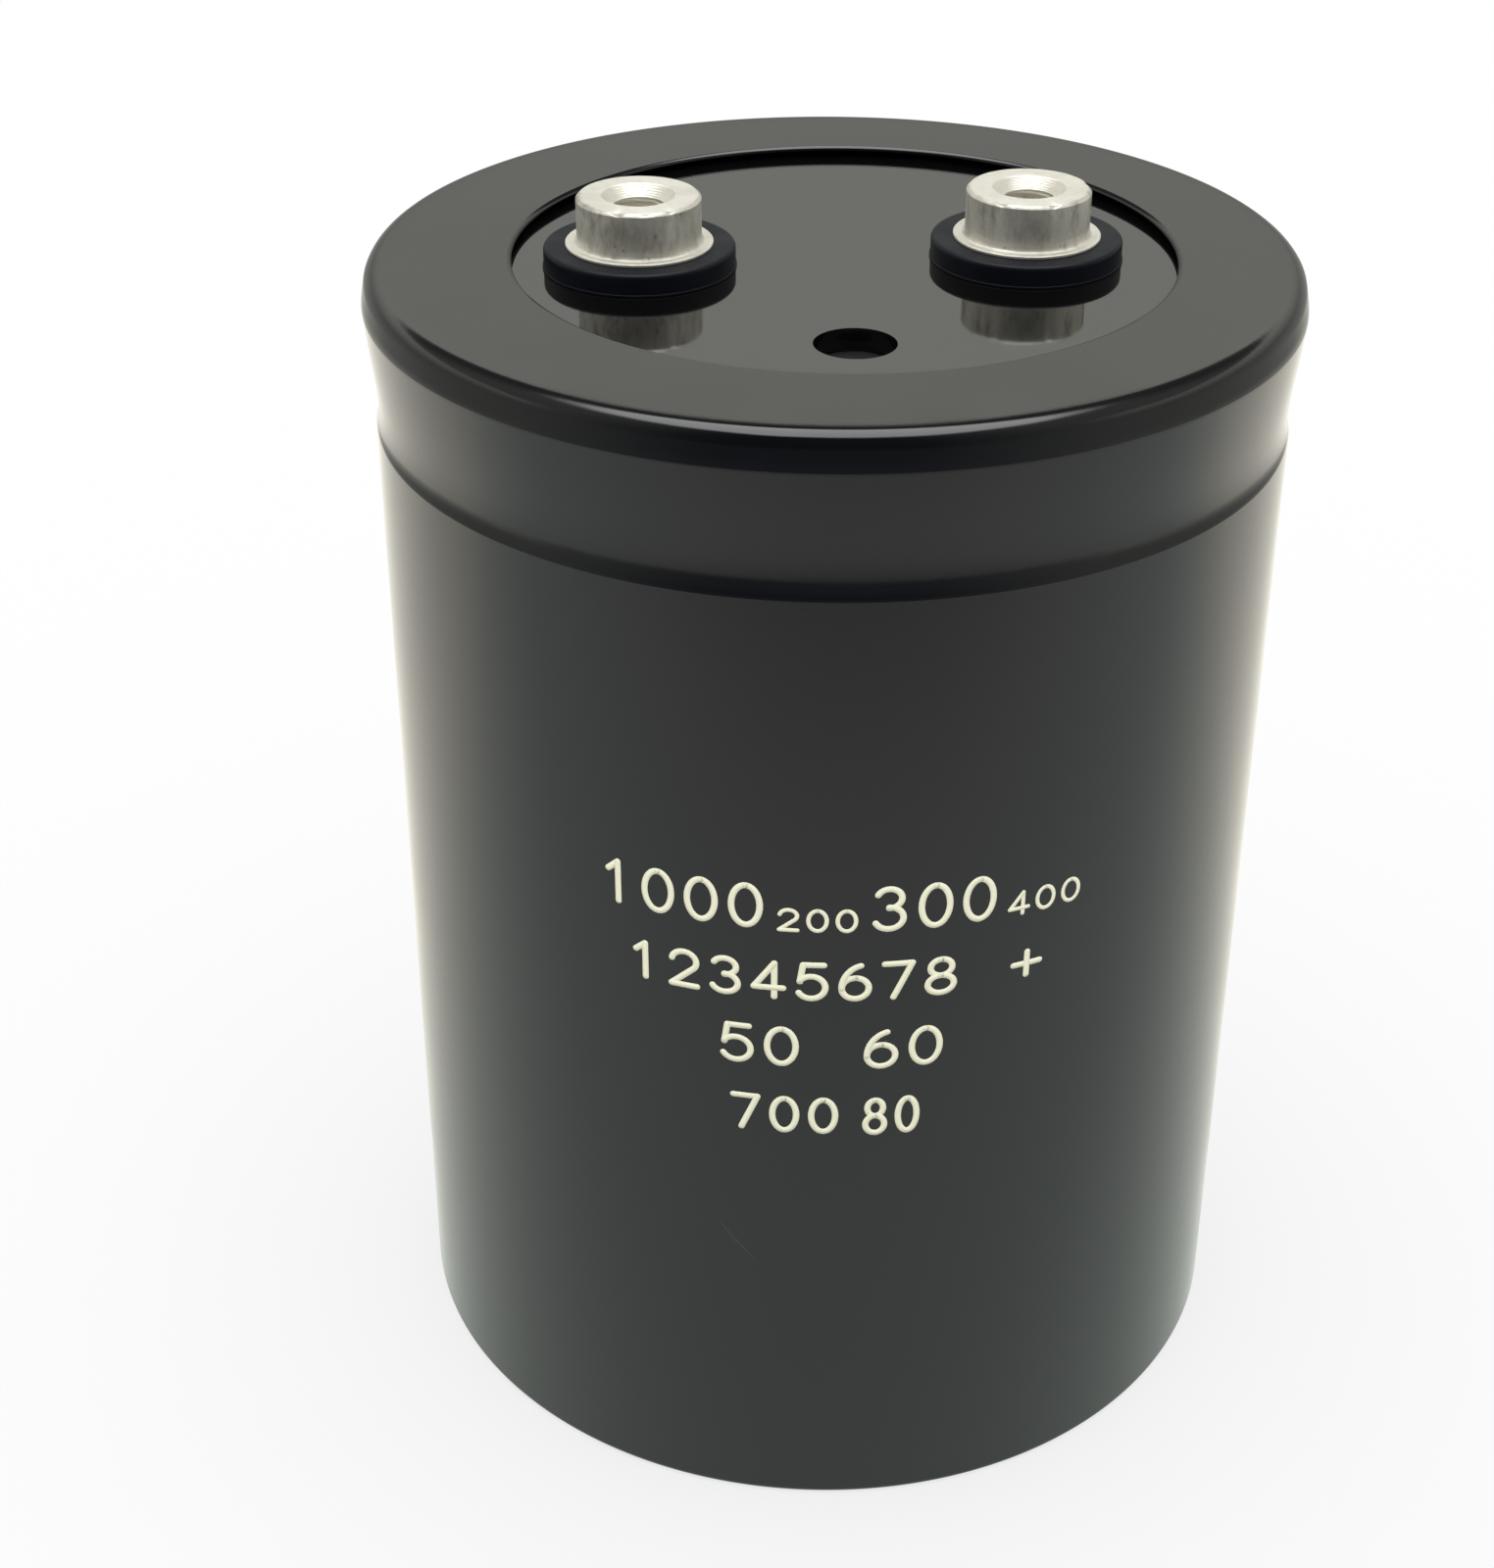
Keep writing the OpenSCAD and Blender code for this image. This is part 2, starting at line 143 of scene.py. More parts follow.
class SleeveSettings(bpy.types.PropertyGroup):
    """Sizes and colours of the shrink sleeve."""

    wall: length("Film", "Thickness of the shrink film", 0.4)
    rim_swell: length("Rim swell", "How far the rim stands out past the body", 0.56)
    rim_drop: length("Rim drop", "From the top down to the rim's widest place", 2.9)
    rim_lean: angle("Rim lean", "Lean of the rim's side", 7.5)
    shoulder: length("Shoulder", "Radius of the rim's shoulder", 1.5)
    groove_drop: length("Groove drop", "From the top down to the middle of the rolled groove", 10.0)
    groove_height: length("Groove height", "Height of the rolled groove", 6.4)
    dip: length("Dip", "How far the film sinks into the groove", 0.42)
    dip_rise: length("Dip rise", "From the groove's lower edge up to the film's deepest place", 3.5)
    inner_dip: length("Inner dip", "How far the film's inner face sinks into the groove", 0.4)
    inner_rise: length("Inner rise", "From the groove's lower edge up to that face's deepest place", 2.0)
    base_corner: length("Base corner", "Radius of the bottom corner", 0.6)
    base_lap: length("Base lap", "Width of the lap under the base", 5.0)
    lap_clear: length("Lap clearance", "From a collar's side to the upper lap's edge", 3.41)
    lap_shift_x: length("Lap shift X", "Sideways shift of the upper lap's opening along X", 0.86)
    lap_shift_y: length("Lap shift Y", "Sideways shift of the upper lap's opening along Y", 0.33)
    rim_bulge: length("Rim bulge", "How far the rim's side bows out between its two ends", 0.02)
    roll_off: length("Roll-off", "How far the top sinks towards the shoulder", 0.04)
    roll_width: length("Roll-off width", "Width over which it sinks", 0.5)
    lap_round: length("Lap rounding", "Height of the rounding of the upper lap's edge", 0.34)
    lap_nose: length("Lap nose", "Width of the ellipse that the rounding follows", 0.6)
    lap_start: angle("Lap start", "Part of the ellipse's quarter that is left off at the top", 24)
    ripple: length("Ripple", "Depth of the uneven shrinking along the shoulder", 0.05)
    columns: count("Columns", "Steps round the sleeve", 384)
    film: colour("Film colour", "Colour of the black film", (0.0026, 0.003, 0.0037))
    dust: colour("Dust colour", "Colour of specks and hairline scratches", (0.07, 0.07, 0.065))


class PrintSettings(bpy.types.PropertyGroup):
    """Sizes and colours of the printed figures."""

    proud: length("Proud", "How far the ink stands out from the film", 0.02)
    bold: length("Bold stroke", "Width of the strokes of the large figures", 0.52)
    fine: length("Fine stroke", "Width of the strokes of the small figures", 0.34)
    step: length("Step", "Distance between points along a stroke", 0.12)
    ink: colour("Ink", "Colour of the cream ink", (1.0, 0.98, 0.72))


class TerminalSettings(bpy.types.PropertyGroup):
    """Sizes and colours of the threaded terminals and their collars."""

    post_width: length("Post", "Diameter of the post above the flange", 10.2)
    chamfer: length("Chamfer", "Chamfer round the post's top", 0.25)
    flange_height: length("Flange", "Thickness of the bright flange on the collar", 0.25)
    shank_width: length("Shank", "Diameter of the shank through the deck", 9.2)
    shank_flats: length("Shank flats", "Distance across the shank's flats", 7.8)
    tenon_width: length("Tenon", "Diameter of the tenon under the deck", 5.2)
    peen_width: length("Peened head", "Diameter of the peened head", 7.6)
    peen_height: length("Peened height", "Height of the peened head", 1.0)
    hole_width: length("Hole", "Diameter of the hole inside its thread", 4.2)
    hole_depth: length("Hole depth", "Depth of the threaded hole below the post's top", 9.5)
    mouth_width: length("Countersink", "Diameter of the countersink", 6.0)
    thread_pitch: length("Thread pitch", "Rise of the thread in a turn", 0.8)
    thread_depth: length("Thread depth", "Radial depth of the thread's grooves", 0.4)
    thread_rows: count("Thread rows", "Steps in a turn's rise", 10)
    columns: count("Columns", "Steps round a terminal", 160)
    metal: colour("Metal", "Colour of the turned aluminium", (0.88, 0.86, 0.77))
    # This dark colour also paints the shade down the posts' side and front
    stain_and_shade_colour: colour("Stain", "Colour of the stains on the metal", (0.20, 0.185, 0.145))
    collar_edge: length("Collar edge", "Rounding of the collar's edges", 0.35)
    collar_foot: length("Collar foot", "Height of the thin foot round the collar", 0.18)
    rubber: colour("Rubber", "Colour of the black collars", (0.0016, 0.0022, 0.0055))


class DeckSettings(bpy.types.PropertyGroup):
    """Sizes and colours of the deck and its safety vent."""

    resin: colour("Resin", "Colour of the polished deck", (0.003, 0.003, 0.0032))
    specks: colour("Specks", "Colour of the specks on the deck", (0.10, 0.10, 0.09))
    stem_width: length("Stem", "Diameter of the vent plug's stem", 3.5)
    head_height: length("Head", "Thickness of the vent plug's head", 2.4)
    rubber: colour("Rubber", "Colour of the vent plug", (0.010, 0.010, 0.011))
    dimple_width: length("Dimple", "Diameter of the dimple in the vent plug", 2.4)
    dimple_depth: length("Dimple depth", "Depth of that dimple", 1.4)
    columns: count("Columns", "Steps round the vent plug", 128)


class StageSettings(bpy.types.PropertyGroup):
    """The camera, the floor and the light, with what reflections see of the floor and the surroundings."""

    camera_spot: spot("Camera", "Place of the camera", (-19.81, -207.69, 174.84))
    camera_tilt: angle("Camera tilt", "Tilt of the camera up from straight down", 59.305)
    camera_turn: angle("Camera turn", "Turn of the camera about Z", -3.499)
    focal: share("Focal length", "Focal length in millimetres on the sensor below", 60.58)
    sensor: share("Sensor", "Width of the camera's sensor in millimetres", 36.0)
    floor_radius: length("Floor radius", "Radius of the pale floor", 270)
    floor_drop: length("Floor drop", "How far the floor lies under the base", 0.02)
    floor_albedo: share("Floor albedo", "Share of light that the floor scatters", 0.25)
    floor_glow: share("Floor glow", "Brightness added to the floor as the camera sees it", 0.70)
    front_glow: share("Front glow", "Mirrored brightness of the floor close in front", 0.60)
    back_glow: share("Back glow", "Mirrored brightness of the floor behind", 1.02)
    front_reach: length("Front reach", "Where the floor's mirrored brightness ends in front", 340)
    glow_turn: length("Glow turn", "Half the depth over which the front's glow becomes the back's", 60)
    floor_cool: colour("Floor near", "Mirrored tint of the floor close in front", (0.86, 1.0, 0.93))
    floor_plain: colour("Floor in front", "Mirrored tint of the floor farther in front", (1.0, 1.0, 0.92))
    floor_warm: colour("Floor behind", "Mirrored tint of the floor behind", (1.0, 0.96, 0.82))
    sky: share("Sky", "Brightness of the surroundings that light the object", 1.1)
    room: colour("Room", "Mirrored colour of the dark room in front", (0.115, 0.125, 0.15))
    room_side: colour("Room beside", "Mirrored colour of the room beside and behind", (0.43, 0.43, 0.40))
    front_turn: angle("Front turn", "Turn of the dark front's middle to the left", -8)
    front_sides: angles("Front sides", "Angles off its middle over which the front lightens", (18, 78))
    front_fade: angles("Front fade", "Heights over which the front darkens", (-12, 12))
    front_top: share("Front above", "Share of the front's brightness that is left above", 0.2)
    back_sides: angles("Back sides", "Angles off the front over which the back sets in", (100, 150))
    back_fade: angles("Back fade", "Heights over which the back darkens", (3, 30))
    back_top: share("Back above", "Share of the back's brightness that is left above", 0.25)
    wall: colour("Wall", "Mirrored colour of the pale wall beside and behind", (0.99, 1.0, 0.91))
    wall_sides: angles("Wall sides", "Angles off the front over which the wall sets in", (62, 80))
    wall_rise: angles("Wall rise", "Heights over which the wall brightens", (9, 25.5))
    wall_end: angles("Wall end", "Heights over which the wall ends", (26, 30))
    horizon: colour("Horizon", "Mirrored colour under the horizon beside and behind", (0.90, 0.88, 0.78))
    horizon_fade: angles("Horizon fade", "Heights over which that colour sets in", (-14, -21))
    overhead: share("Overhead light", "Mirrored brightness of the overhead light", 4.4)
    overhead_lean: angle("Overhead lean", "Lean of the overhead light's middle to the back", 7)
    overhead_edge: angles("Overhead edge", "Angles off its middle over which it sets in", (33, 23))
    box_size: length("Softbox", "Side of the overhead softbox", 600)
    box_height: length("Softbox height", "Height of the softbox", 800)
    box_light: share("Softbox light", "Radiance of the softbox", 0.75)


class CapacitorSettings(bpy.types.PropertyGroup):
    """All settings of the capacitor."""

    sleeve: bpy.props.PointerProperty(type=SleeveSettings, name="Sleeve")
    printed: bpy.props.PointerProperty(type=PrintSettings, name="Print")
    terminals: bpy.props.PointerProperty(type=TerminalSettings, name="Terminals")
    deck: bpy.props.PointerProperty(type=DeckSettings, name="Deck")
    stage: bpy.props.PointerProperty(type=StageSettings, name="Stage")


# Surfaces


def patch(points, closed_rows=False, start=None, end=None):
    """Vertices and faces of a grid of points (row, column) whose last column joins the first.

    Each face joins the points (i, j), (i, j+1), (i+1, j+1) and (i+1, j). With closed_rows the last row
    joins the first. A start or end point closes that end with a fan of triangles.
    """
    rows, columns = points.shape[:2]
    index = np.arange(rows * columns).reshape(rows, columns)
    lower = index if closed_rows else index[:-1]
    upper = np.roll(index, -1, axis=0) if closed_rows else index[1:]
    quads = np.stack([lower, np.roll(lower, -1, 1), np.roll(upper, -1, 1), upper], axis=-1)
    faces = quads.reshape(-1, 4).tolist()
    vertices = [points.reshape(-1, 3)]
    if start is not None:
        tip = np.full(columns, rows * columns)
        vertices.append(np.array(start, float).reshape(1, 3))
        faces += np.stack([tip, np.roll(index[0], -1), index[0]], axis=-1).tolist()
    if end is not None:
        tip = np.full(columns, sum(map(len, vertices)))
        vertices.append(np.array(end, float).reshape(1, 3))
        faces += np.stack([index[-1], np.roll(index[-1], -1), tip], axis=-1).tolist()
    return np.concatenate(vertices), faces


def mesh_object(name, patches, material, stands_for=()):
    """A smooth piece of one or more patches, riding on the object's one body."""
    vertices, faces, first = [], [], 0
    for points, patch_faces in patches:
        vertices.append(points)
        faces += [[first + k for k in face] for face in patch_faces]
        first += len(points)
    mesh = bpy.data.meshes.new(name)
    mesh.from_pydata(np.concatenate(vertices).tolist(), [], faces)
    mesh.polygons.foreach_set("use_smooth", np.ones(len(faces), bool))
    mesh.materials.append(material)
    mesh.update()
    piece = bpy.data.objects.new(name, mesh)
    bpy.context.scene.collection.objects.link(piece)
    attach(piece, "root")
    if stands_for:
        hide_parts(*stands_for)


def arc(centre, radius, start, end, steps):
    """Points of a circle's arc in the section plane, centre + radius (cos a, sin a).

    The angle a goes in even steps from start to end, in degrees.
    """
    a = np.radians(np.linspace(start, end, steps + 1))
    return np.column_stack([centre[0] + radius * np.cos(a), centre[1] + radius * np.sin(a)])


def straight(start, end, steps=1, margin=0.05 * MM):
    """Points of a straight run in the section plane, with one more close to each end.

    The close points keep the shading of a rounded corner from spreading over the flat beside it.
    """
    start, end = np.array(start, float), np.array(end, float)
    close = min(margin / max(np.linalg.norm(end - start), margin), 0.25)
    t = np.concatenate([[0, close], np.linspace(0, 1, steps + 1)[1:-1], [1 - close, 1]])
    return start + (end - start) * t[:, None]


def without_doubles(points):
    """The points without those that repeat the one before."""
    moved = np.linalg.norm(np.diff(points, axis=0), axis=1) > 1e-8
    return points[np.concatenate([[True], moved])]


def rounded_outline(corners, closed=False, steps=5):
    """Outline in the section plane through corners given as (radius, height, rounding).

    Where the sides at a corner make the angle 2h, the arc of rounding q starts q / tan(h) before the
    corner, and its centre lies q / sin(h) from the corner on the line that halves the angle.
    """
    spots = np.array([corner[:2] for corner in corners], float)
    total = len(corners)
    ends, arcs = [], []
    for i in range(total):
        rounding = corners[i][2]
        if rounding == 0 or (not closed and i in (0, total - 1)):
            arcs.append(spots[i : i + 1])
            continue
        back = spots[i - 1] - spots[i]
        ahead = spots[(i + 1) % total] - spots[i]
        back, ahead = back / np.linalg.norm(back), ahead / np.linalg.norm(ahead)
        half = math.acos(np.clip(back @ ahead, -1, 1)) / 2
        middle = (back + ahead) / np.linalg.norm(back + ahead)
        centre = spots[i] + middle * rounding / math.sin(half)
        first = spots[i] + back * rounding / math.tan(half) - centre
        last = spots[i] + ahead * rounding / math.tan(half) - centre
        turn_from = math.atan2(first[1], first[0])
        turn = math.remainder(math.atan2(last[1], last[0]) - turn_from, 2 * math.pi)
        arcs.append(arc(centre, rounding, math.degrees(turn_from), math.degrees(turn_from + turn), steps))
    for i in range(total):
        ends.append(arcs[i])
        if i < total - 1 or closed:
            following = arcs[(i + 1) % total]
            ends.append(straight(arcs[i][-1], following[0]))
    outline = without_doubles(np.concatenate(ends))
    return outline[:-1] if closed else outline


def turned(radius, height, columns, centre_x=0.0, centre_y=0.0):
    """Grid of a turned surface: (centre_x + r cos t, centre_y + r sin t, z) for the angle t.

    radius and height hold one value for each row, or one for each row and column.
    """
    t = np.linspace(0, 2 * math.pi, columns, endpoint=False)[None, :]
    r = radius[:, None] if radius.ndim == 1 else radius
    z = height[:, None] if height.ndim == 1 else height
    x = centre_x + r * np.cos(t)
    y = centre_y + r * np.sin(t)
    return np.stack([x, y, np.broadcast_to(z, x.shape)], axis=-1)


def dent(points, centre, push, width):
    """Moves each point by push times exp(-(distance from centre / width) squared)."""
    distance = np.linalg.norm(points - np.array(centre), axis=-1, keepdims=True)
    return points + np.array(push) * np.exp(-((distance / width) ** 2))


# Shader nodes


def fill(node, inputs):
    """Sets a node's inputs. Each is a value, or a socket to link from."""
    for key, value in inputs.items():
        if isinstance(value, bpy.types.NodeSocket):
            node.id_data.links.new(value, node.inputs[key])
        else:
            node.inputs[key].default_value = value


def add_node(tree, kind, inputs, **properties):
    """Adds a node, with its properties and its inputs."""
    made = tree.nodes.new(kind)
    for key, value in properties.items():
        setattr(made, key, value)
    fill(made, inputs)
    return made


def math_node(tree, operation, first, second=0.0, third=0.0, clamp=False):
    """Output of a Math node."""
    inputs = {0: first, 1: second, 2: third}
    return add_node(tree, "ShaderNodeMath", inputs, operation=operation, use_clamp=clamp).outputs[0]


def vector_node(tree, operation, first, second=(0.0, 0.0, 0.0)):
    """Vector output of a Vector Math node."""
    made = add_node(tree, "ShaderNodeVectorMath", {0: first, 1: second}, operation=operation)
    return made.outputs["Vector"]


def measure_node(tree, operation, first, second=(0.0, 0.0, 0.0)):
    """Value output of a Vector Math node, such as a length or a dot product."""
    made = add_node(tree, "ShaderNodeVectorMath", {0: first, 1: second}, operation=operation)
    return made.outputs["Value"]


def scaled(tree, vector, factor):
    """A vector or a colour times a number."""
    made = add_node(tree, "ShaderNodeVectorMath", {0: vector, "Scale": factor}, operation="SCALE")
    return made.outputs["Vector"]


def laid_flat(tree, vector):
    """A vector without its part along Z."""
    return vector_node(tree, "MULTIPLY", vector, (1.0, 1.0, 0.0))


def ramp_node(tree, value, low, high, to_low=0.0, to_high=1.0, smooth=True):
    """A value taken from the range low to high into the range to_low to to_high, and held there."""
    made = add_node(
        tree,
        "ShaderNodeMapRange",
        {"Value": value, "From Min": low, "From Max": high, "To Min": to_low, "To Max": to_high},
        interpolation_type="SMOOTHSTEP" if smooth else "LINEAR",
    )
    return made.outputs["Result"]


def mix_colours(tree, factor, first, second):
    """First colour where the factor is 0, second where it is 1.

    A Mix node's inputs 0, 6 and 7 are its factor and its two colours, and its output 2 is their mix.
    """
    inputs = {0: factor}
    for index, value in ((6, first), (7, second)):
        inputs[index] = value if isinstance(value, bpy.types.NodeSocket) else (*value, 1)
    return add_node(tree, "ShaderNodeMix", inputs, data_type="RGBA").outputs[2]


def noise_node(tree, vector, scale, detail=2.0, roughness=0.5):
    """Noise from 0 to 1, with about as many features to a metre as the scale says."""
    inputs = {"Vector": vector, "Scale": scale, "Detail": detail, "Roughness": roughness}
    return add_node(tree, "ShaderNodeTexNoise", inputs).outputs["Fac"]


def new_group(name, inputs, outputs):
    """An empty node group, with the sockets of its inputs and the node that takes its outputs.

    An input's default is a number, or None where the input is a vector.
    """
    group = bpy.data.node_groups.new(name, "ShaderNodeTree")
    for key, default in inputs.items():
        kind = "NodeSocketVector" if default is None else "NodeSocketFloat"
        socket = group.interface.new_socket(name=key, in_out="INPUT", socket_type=kind)
        if default is not None:
            socket.default_value = default
    for key in outputs:
        group.interface.new_socket(name=key, in_out="OUTPUT", socket_type="NodeSocketFloat")
    return group, group.nodes.new("NodeGroupInput").outputs, group.nodes.new("NodeGroupOutput")


def specks_group():
    """Sparse specks: a mask that is 1 in the middle of some of the cells of a Voronoi pattern."""
    inputs = {"Vector": None, "Density": 100.0, "Size": 0.1, "Share": 0.1}
    group, given, put = new_group("specks", inputs, ["Mask"])
    cells = add_node(group, "ShaderNodeTexVoronoi", {"Vector": given["Vector"], "Scale": given["Density"]})
    chance = add_node(group, "ShaderNodeSeparateColor", {"Color": cells.outputs["Color"]})
    inner = math_node(group, "MULTIPLY", given["Size"], 0.5)
    near = ramp_node(group, cells.outputs["Distance"], given["Size"], inner)
    picked = math_node(group, "LESS_THAN", chance.outputs[0], given["Share"])
    fill(put, {"Mask": math_node(group, "MULTIPLY", near, picked)})
    return group


def hairline_group():
    """A thin straight scratch: a mask that falls off with the distance from the line from Start to End.

    The distance is taken to the point Start + t (End - Start), with t held between 0 and 1, and the
    scratch thins towards both ends as sin(pi t).
    """
    inputs = {"Vector": None, "Start": None, "End": None, "Width": 0.1 * MM}
    group, given, put = new_group("hairline", inputs, ["Mask"])
    along = vector_node(group, "SUBTRACT", given["End"], given["Start"])
    offset = vector_node(group, "SUBTRACT", given["Vector"], given["Start"])
    length_squared = measure_node(group, "DOT_PRODUCT", along, along)
    passed = measure_node(group, "DOT_PRODUCT", offset, along)
    t = math_node(group, "DIVIDE", passed, length_squared, clamp=True)
    apart = vector_node(group, "SUBTRACT", offset, scaled(group, along, t))
    near = ramp_node(group, measure_node(group, "LENGTH", apart), given["Width"], 0.0)
    taper = math_node(group, "SINE", math_node(group, "MULTIPLY", t, math.pi))
    fill(put, {"Mask": math_node(group, "MULTIPLY", near, taper)})
    return group


def relief_group():
    """Two scales of soft noise: a height for bump, and slow patches for roughness.

    The height is Share parts of the waves and the rest of the grain.
    """
    inputs = {"Vector": None, "Grain": 1000.0, "Wave": 80.0, "Share": 0.6}
    group, given, put = new_group("relief", inputs, ["Height", "Patches"])
    grain = noise_node(group, given["Vector"], given["Grain"])
    wave = noise_node(group, given["Vector"], given["Wave"], 1.0)
    fine = math_node(group, "MULTIPLY", grain, math_node(group, "SUBTRACT", 1.0, given["Share"]))
    height = math_node(group, "MULTIPLY_ADD", wave, given["Share"], fine)
    fill(put, {"Height": height, "Patches": wave})
    return group


def streaks_group():
    """Stretched noise: a mask of streaks that run along Z, soft at their edges."""
    inputs = {"Vector": None, "Across": 600.0, "Along": 60.0, "Low": 0.45, "High": 0.7}
    group, given, put = new_group("streaks", inputs, ["Mask"])
    scales = {"X": given["Across"], "Y": given["Across"], "Z": given["Along"]}
    scale = add_node(group, "ShaderNodeCombineXYZ", scales).outputs["Vector"]
    noise = noise_node(group, vector_node(group, "MULTIPLY", given["Vector"], scale), 1.0, 4.0, 0.6)
    fill(put, {"Mask": ramp_node(group, noise, given["Low"], given["High"])})
    return group


def lathe_group():
    """Turning marks: a height that waves with the distance from the axis, a little unevenly."""
    group, given, put = new_group("lathe", {"Vector": None, "Pitch": 0.15 * MM}, ["Height"])
    flat = laid_flat(group, given["Vector"])
    turns = math_node(group, "DIVIDE", measure_node(group, "LENGTH", flat), given["Pitch"])
    phase = math_node(group, "MULTIPLY_ADD", turns, 2 * math.pi, noise_node(group, flat, 250.0))
    fill(put, {"Height": math_node(group, "SINE", phase)})
    return group


GROUPS = {
    "specks": specks_group,
    "hairline": hairline_group,
    "relief": relief_group,
    "streaks": streaks_group,
    "lathe": lathe_group,
}


def group_node(tree, name, **inputs):
    """Outputs of a shared group, which is made the first time that it is asked for."""
    group = bpy.data.node_groups.get(name) or GROUPS[name]()
    return add_node(tree, "ShaderNodeGroup", inputs, node_tree=group).outputs


def new_material(name, **constants):
    """A material with a Principled shader, its tree, and the socket of a point's place in metres."""
    material = bpy.data.materials.new(name)
    material.use_nodes = True
    tree = material.node_tree
    tree.nodes.clear()
    shader = add_node(tree, "ShaderNodeBsdfPrincipled", constants)
    add_node(tree, "ShaderNodeOutputMaterial", {"Surface": shader.outputs["BSDF"]})
    return material, tree, shader, tree.nodes.new("ShaderNodeTexCoord").outputs["Object"]


def finish(shader, tint, roughness, height, depth):
    """Gives the shader a colour, a roughness, and a bump whose height is in units of depth."""
    inputs = {"Height": height, "Distance": depth, "Strength": 1.0}
    bump = add_node(shader.id_data, "ShaderNodeBump", inputs)
    fill(shader, {"Base Color": tint, "Roughness": roughness, "Normal": bump.outputs["Normal"]})


# Finishes

# Radius of the sleeve's plain side
SLEEVE_RADIUS = 38.1 * MM

# Hairline scratches on the sleeve: for both ends the angle in degrees, the height and the distance
# out from the side in millimetres, and then the width in millimetres
SLEEVE_SCRATCHES = (
    ((-113, 97.0, 0.2), (-111, 95.5, 0.0), 0.12),
    ((-114, 33.0, 0.0), (-105, 28.0, 0.0), 0.10),
    ((-108, 30.5, 0.0), (-103, 26.5, 0.0), 0.08),
)


def on_sleeve(degrees, height, out):
    """Point at an angle round Z, a height and a distance out from the sleeve's side."""
    a = math.radians(degrees)
    radius = SLEEVE_RADIUS + out * MM
    return (radius * math.cos(a), radius * math.sin(a), height * MM)


def film_material(settings):
    """Satin black shrink film: fine peel, slow waves, a few specks and hairline scratches."""
    material, tree, shader, place = new_material("sleeve_film", IOR=1.53)
    relief = group_node(tree, "relief", Vector=place, Grain=900.0, Wave=90.0, Share=0.75)
    marks = group_node(tree, "specks", Vector=place, Density=90.0, Size=0.014, Share=0.12)["Mask"]
    for start, end, width in SLEEVE_SCRATCHES:
        ends = {"Start": on_sleeve(*start), "End": on_sleeve(*end)}
        line = group_node(tree, "hairline", Vector=place, Width=width * MM, **ends)
        marks = math_node(tree, "MAXIMUM", marks, line["Mask"])
    tint = mix_colours(tree, marks, settings.film, settings.dust)
    rough = ramp_node(tree, relief["Patches"], 0.3, 0.7, 0.11, 0.15)
    finish(shader, tint, rough, relief["Height"], 0.02 * MM)
    return material


def deck_material(settings):
    """Polished black resin with a barely uneven surface and fine specks."""
    material, tree, shader, place = new_material("deck_resin", IOR=1.75)
    relief = group_node(tree, "relief", Vector=place, Grain=1200.0, Wave=110.0, Share=0.9)
    specks = group_node(tree, "specks", Vector=place, Density=160.0, Size=0.02, Share=0.08)
    tint = mix_colours(tree, specks["Mask"], settings.resin, settings.specks)
    rough = ramp_node(tree, relief["Patches"], 0.3, 0.7, 0.04, 0.07)
    finish(shader, tint, rough, relief["Height"], 0.006 * MM)
    return material


def rubber_material(name, base, low, high):
    """Smooth black rubber, between two roughnesses."""
    material, tree, shader, place = new_material(name, IOR=1.3)
    relief = group_node(tree, "relief", Vector=place, Grain=2500.0, Wave=300.0, Share=0.5)
    tint = mix_colours(tree, relief["Patches"], base, [1.5 * c for c in base])
    rough = ramp_node(tree, relief["Patches"], 0.3, 0.7, low, high)
    finish(shader, tint, rough, relief["Height"], 0.01 * MM)
    return material


